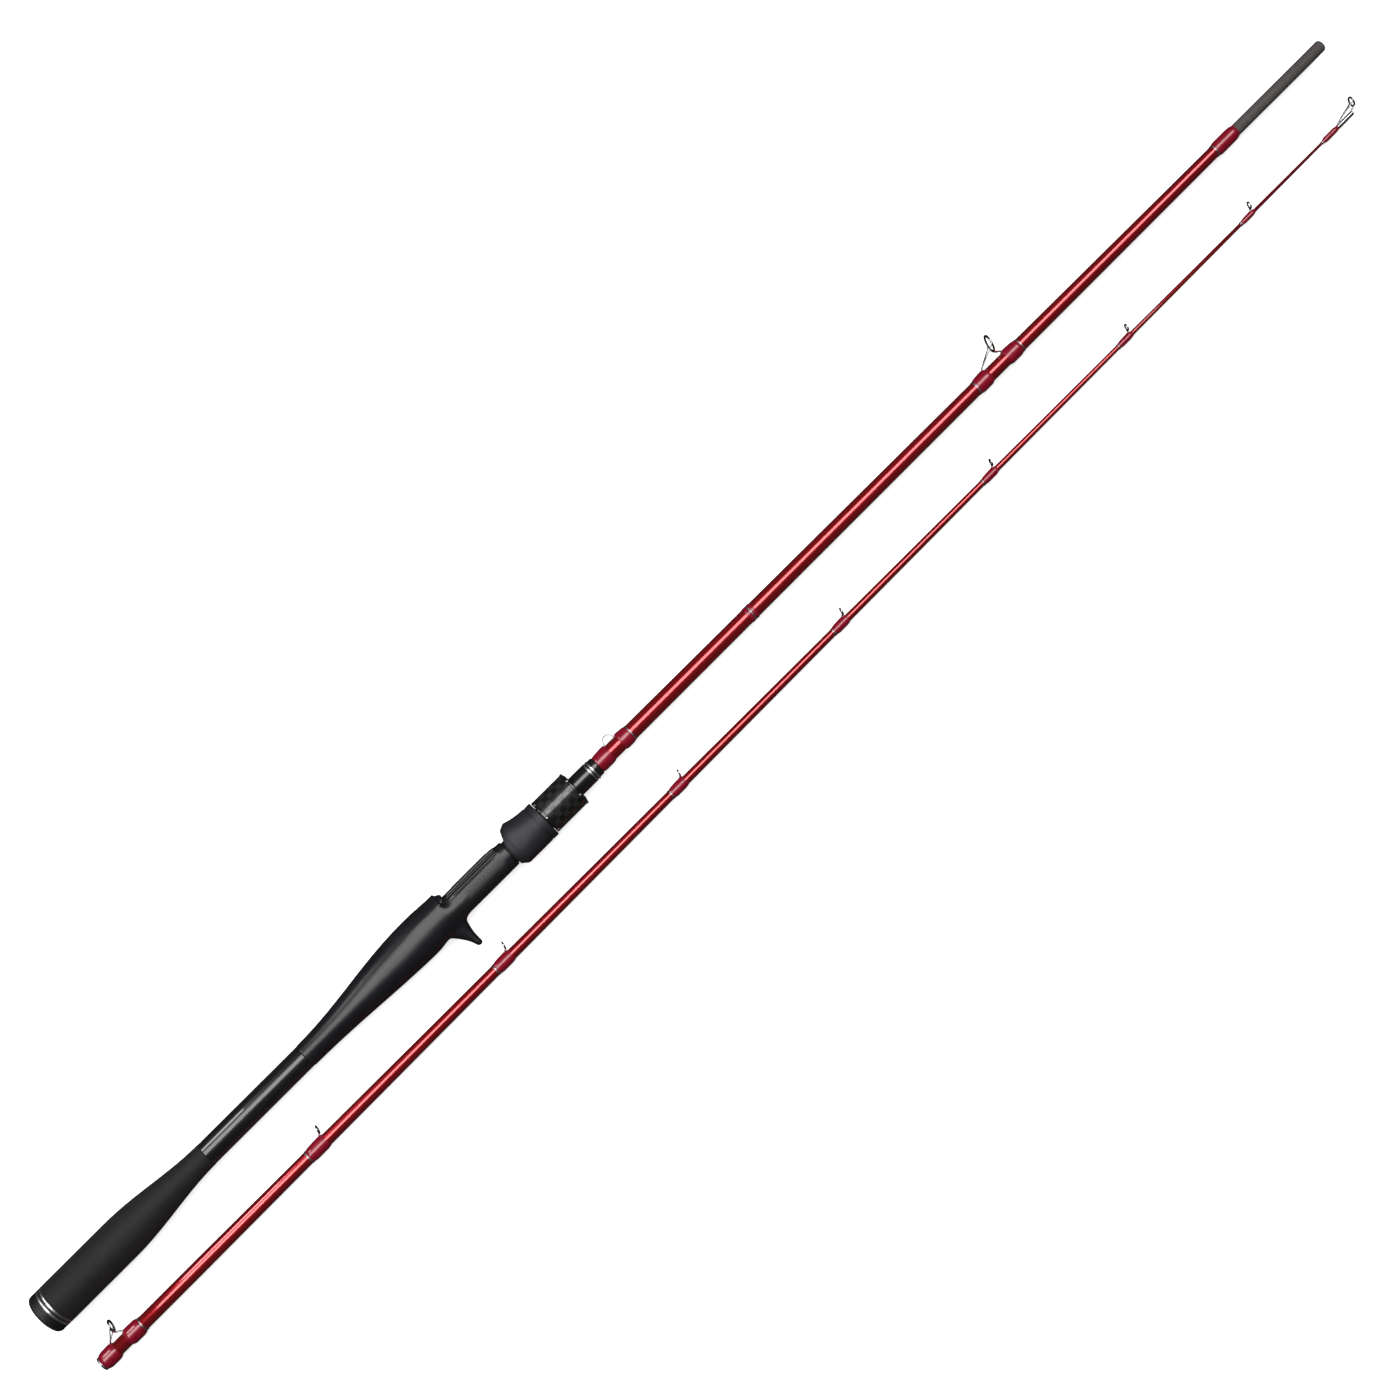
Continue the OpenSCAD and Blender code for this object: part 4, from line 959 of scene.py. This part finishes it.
def oneFooted(name, od, x, legX, rise, footLength, base, axis):
    r = od / 2
    top = base + 0.5
    metal, hard = ringPair(od, 1.0, x, rise, axis)
    parts = [metal]
    for s in (-1, 1):
        path = [(legX - 2.0, s * 0.5, top - 0.18), (legX - 0.5, s * 0.5, top - 0.1),
                (legX + 0.5, s * 0.6, top + 0.7), (x - 1.1, s * r * 0.62, rise - r * 0.82),
                (x - 0.45, s * (r - 0.12) * 0.93, rise - r * 0.36), (x - 0.02, s * (r - 0.1), rise + 0.2)]
        parts.append(wire("leg", [placeAt(*point, axis) for point in path], 0.42, [0.9, 1, 1, 1, 0.9, 0.5]))
    parts.append(footUnder(legX - footLength, legX + 0.45, base, 0.53, 1.7, axis))
    return joined(name, parts), hard


twoFootLook = {"buttD": 14.2, "buttRise": 16.1, "buttWire": 1.3,
               "firstD": 10.0, "firstRise": 14.1, "firstWire": 1.1}
buttFrame, buttHard = twoFooted("ButtGuideFrame", twoFootLook["buttD"], guideX, twoFootLook["buttRise"],
                                rearLeg, frontLeg, rearToe, frontToe,
                                between(backStart, buttTaper) + 0.04, twoFootLook["buttWire"], buttAxis)
settle(buttFrame, "ButtGuideFrame", "butt_section", "guide_steel", "butt_guide_frame")
settle(buttHard, "ButtGuideRing", "butt_section", "ring_ceramic", "butt_guide_ring")

firstLow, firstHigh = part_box("first_guide_ring")
firstX = (firstLow.x + firstHigh.x) / 2 / mm
firstRear, firstFront = firstX - 8.5, firstX + 3.2
firstToe = 10
firstFrame, firstHard = twoFooted("FirstGuideFrame", twoFootLook["firstD"], firstX, twoFootLook["firstRise"],
                                  firstRear, firstFront, firstRear - firstToe, firstFront + firstToe,
                                  socketR + 0.04, twoFootLook["firstWire"], tipAxis)
settle(firstFrame, "FirstGuideFrame", "tip_section", "guide_steel", "first_guide_frame")
settle(firstHard, "FirstGuideRing", "tip_section", "ring_ceramic", "first_guide_ring")
sockStart, sockEnd = span("socket_wrap")
settle(wrapOver("SocketWrap", sockStart, sockEnd, tipTaper, tipAxis, wrapLook["first"],
                (firstRear - firstToe, firstRear, wrapLook["firstLift"])),
       "SocketWrap", "tip_section", "wrap_crimson", "socket_wrap")
firstWrapStart, firstWrapEnd = span("first_guide_wrap")
settle(wrapOver("FirstGuideWrap", firstWrapStart, firstWrapEnd, tipTaper, tipAxis, wrapLook["first"],
                (firstFront + firstToe, firstFront, wrapLook["firstLift"])),
       "FirstGuideWrap", "tip_section", "wrap_crimson", "first_guide_wrap")

guideLook = {"d": [7, 6.6, 6.2, 6, 6, 6, 6], "legBehind": 2.4,
             "foot": [14, 12.5, 11.5, 11.5, 11.5, 11.5, 11.5]}
tipBands = [firstWrapEnd]
for number, (od, footLength) in enumerate(zip(guideLook["d"], guideLook["foot"]), 1):
    low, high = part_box(f"guide_{number}_ring")
    x = (low.x + high.x) / 2 / mm
    rise = (low.y + high.y) / 2 / mm - tipAxis[0]
    legX = x - guideLook["legBehind"]
    base = between(legX - footLength, tipTaper) + 0.04
    small, hard = oneFooted(f"Guide{number}Frame", od, x, legX, rise, footLength, base, tipAxis)
    settle(small, f"Guide{number}Frame", "tip_section", "guide_steel", f"guide_{number}_frame")
    settle(hard, f"Guide{number}Ring", "tip_section", "ring_ceramic", f"guide_{number}_ring")
    wrapStart, wrapEnd = span(f"guide_{number}_wrap")
    settle(wrapOver("wrap", wrapStart, wrapEnd, tipTaper, tipAxis, wrapLook["small"],
                    (legX - footLength, legX, wrapLook["smallLift"])),
           f"Guide{number}Wrap", "tip_section", "wrap_crimson", f"guide_{number}_wrap")
    tipBands.append(wrapStart - 1.2)

topLook = {"ringD": 8.2, "rise": 6.2, "wire": 0.5, "tubeR": 1.75, "wrapBack": 6}
topLow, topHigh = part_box("tip_top_ring")
topX = (topLow.x + topHigh.x) / 2 / mm
topTubeStart = span("tip_top_frame")[0]
topWrapStart, topWrapEnd = span("tip_top_wrap")[0] - topLook["wrapBack"], topTubeStart + 0.6
tipBands.append(topWrapStart - 1.2)
topR, topRise, tubeR = topLook["ringD"] / 2, topLook["rise"], topLook["tubeR"]
metal, hard = ringPair(topLook["ringD"], 1.2, topX, topRise, tipAxis)
tubeFar = socketFar + 2
tubeOutline = [(topTubeStart, between(topTubeStart, tipTaper) + 0.02), (topTubeStart, tubeR - 0.15),
               (topTubeStart + 0.2, tubeR), (tubeFar - 0.8, tubeR), (tubeFar - 0.25, tubeR - 0.35),
               (tubeFar, tubeR - 0.9), (tubeFar, 0), (socketFar + 0.05, 0), (socketFar + 0.05, tipR + 0.02)]
parts = [metal, turned("tube", tubeOutline, tipAxis, steps=48)]
ringFoot = topX - topR * math.sin(leanOfRings)
for s in (-1, 1):
    upperPath = [(topTubeStart + 1.0, s * 0.35, tubeR - 0.25), (topTubeStart + 2.6, s * 0.45, tubeR + 0.15),
                 ((topTubeStart + topX) / 2, s * topR * 0.55, (tubeR + topRise) * 0.5),
                 (topX - 1.6, s * (topR - 0.15), topRise - 0.8),
                 (topX + 0.1, s * (topR - 0.1), topRise + 0.5)]
    lowerPath = [(tubeFar - 3.2, s * 0.5, 0.9), (tubeFar - 1.4, s * 0.5, 1.0),
                 ((tubeFar + ringFoot) / 2 - 0.2, s * 0.7, topRise - topR + 0.1),
                 (ringFoot + 0.2, s * 1.6, topRise - topR + 0.5)]
    for path, widths in ((upperPath, [0.8, 1, 1, 1, 0.6]), (lowerPath, [0.9, 1, 1, 0.6])):
        parts.append(wire("brace", [placeAt(*point, tipAxis) for point in path], topLook["wire"], widths))
settle(joined("TipTopFrame", parts), "TipTopFrame", "tip_section", "guide_steel", "tip_top_frame")
settle(hard, "TipTopRing", "tip_section", "ring_ceramic", "tip_top_ring")
settle(wrapOver("TipTopWrap", topWrapStart, topWrapEnd, tipTaper, tipAxis, wrapLook["top"]), "TipTopWrap",
       "tip_section", "wrap_crimson", "tip_top_wrap")
bands = [bandOver("band", x, tipTaper, tipAxis) for x in tipBands]
bands.append(bandOver("band", socketX, tipTaper, tipAxis, 2.6, 8))  # wider at the socket's mouth
settle(joined("TipBands", bands), "TipBands", "tip_section", "silver_trim", "tip_bands")

keeperLook = {"wire": 0.5, "outer": 4.7}
base = between(keeperX, buttTaper) + 0.02
loop = keeperLook["outer"] - keeperLook["wire"]
path = [(keeperX - loop - 5, base + 0.5), (keeperX - loop - 1.6, base + 0.55), (keeperX - loop, base + 0.6)]
for i in range(9):
    a = math.radians(180 - 22.5 * i)
    path.append((keeperX + loop * math.cos(a), base + 0.85 + loop * math.sin(a)))
path += [(keeperX + loop, base + 0.6), (keeperX + loop + 1.6, base + 0.55), (keeperX + loop + 5, base + 0.5)]
points = [placeAt(x, 0, up, buttAxis) for x, up in path]
settle(wire("HookKeeper", points, keeperLook["wire"]), "HookKeeper",
       "butt_section", "guide_steel", "hook_keeper")
print("guides made")

# floor, light and camera
studio = {"floorSize": 14.0, "floorTone": 0.92, "floorGlow": 0.78, "roomTone": 0.035,
          "keyPower": 48.0, "sidePower": 3.2}
floorZ = cadBox[0].z - 0.0005
deselectAll()
bpy.ops.mesh.primitive_plane_add(size=studio["floorSize"], location=(0.62, 0, floorZ))
floor = bpy.context.object
floor.name = "StudioFloor"
floorFinish, nodes, links, shader = newFinish("studioFloor")
cast = noiseAt(nodes, links, patternSpace(nodes, links), 3, 2)
tone = studio["floorTone"]
paintWith(nodes, links, shader, cast, (tone, tone, tone), (tone + 0.01, tone + 0.01, tone + 0.01))
shader.inputs["Roughness"].default_value = 0.9
shader.inputs["Emission Color"].default_value = (1, 1, 1, 1)
shader.inputs["Emission Strength"].default_value = studio["floorGlow"]
floor.data.materials.append(floorFinish)
floor.visible_glossy = False
floor.visible_diffuse = False

world = bpy.data.worlds.new("Studio")
scene.world = world
world.use_nodes = True
nodes, links = world.node_tree.nodes, world.node_tree.links
seen = nodes.new("ShaderNodeLightPath")
room = nodes["Background"]
room.inputs["Strength"].default_value = 1.0
links.new(rangeOf(nodes, links, seen.outputs["Is Camera Ray"], studio["roomTone"], 1.0), room.inputs["Color"])


def softbox(name, place, aim, width, length, power):
    deselectAll()
    bpy.ops.object.light_add(type="AREA", location=place)
    lamp = bpy.context.object
    lamp.name = name
    lamp.data.shape = "RECTANGLE"
    lamp.data.size = length  # along the rods
    lamp.data.size_y = width
    lamp.data.energy = power
    forward = (Vector(aim) - Vector(place)).normalized()
    along = Vector((1, 0, 0))
    side = forward.cross(along).normalized()
    lamp.rotation_euler = Matrix((along, -side, -forward)).transposed().to_euler()
    return lamp


softbox("KeyLight", (0.62, 0.5, 1.7), (0.62, 0.0, 0), 1.0, 3.6, studio["keyPower"])
softbox("SideLight", (-0.27, 1.07, 0.75), (0.08, 0.0, 0), 0.4, 0.35, studio["sidePower"])

cameraLook = {"place": (0.4815, -0.0183, 1.5), "tilt": 5.0, "roll": 0.0013, "lens": 55.0}
tilt = math.radians(cameraLook["tilt"])
forward = Vector((math.sin(tilt), 0, -math.cos(tilt)))
along = Vector((math.cos(tilt), 0, math.sin(tilt)))
across = Vector((0, 1, 0))
roll = cameraLook["roll"]
rodWay = along * math.cos(roll) + across * math.sin(roll)
crossWay = across * math.cos(roll) - along * math.sin(roll)
right = (rodWay - crossWay).normalized()
up = (rodWay + crossWay).normalized()  # the rods run corner to corner
deselectAll()
bpy.ops.object.camera_add(location=cameraLook["place"])
camera = bpy.context.object
camera.name = "MainCamera"
camera.rotation_euler = Matrix((right, up, -forward)).transposed().to_euler()
camera.data.lens = cameraLook["lens"]
camera.data.sensor_width = 36
camera.data.dof.use_dof = False
scene.camera = camera
scene.view_settings.view_transform = "Standard"
print("studio made")
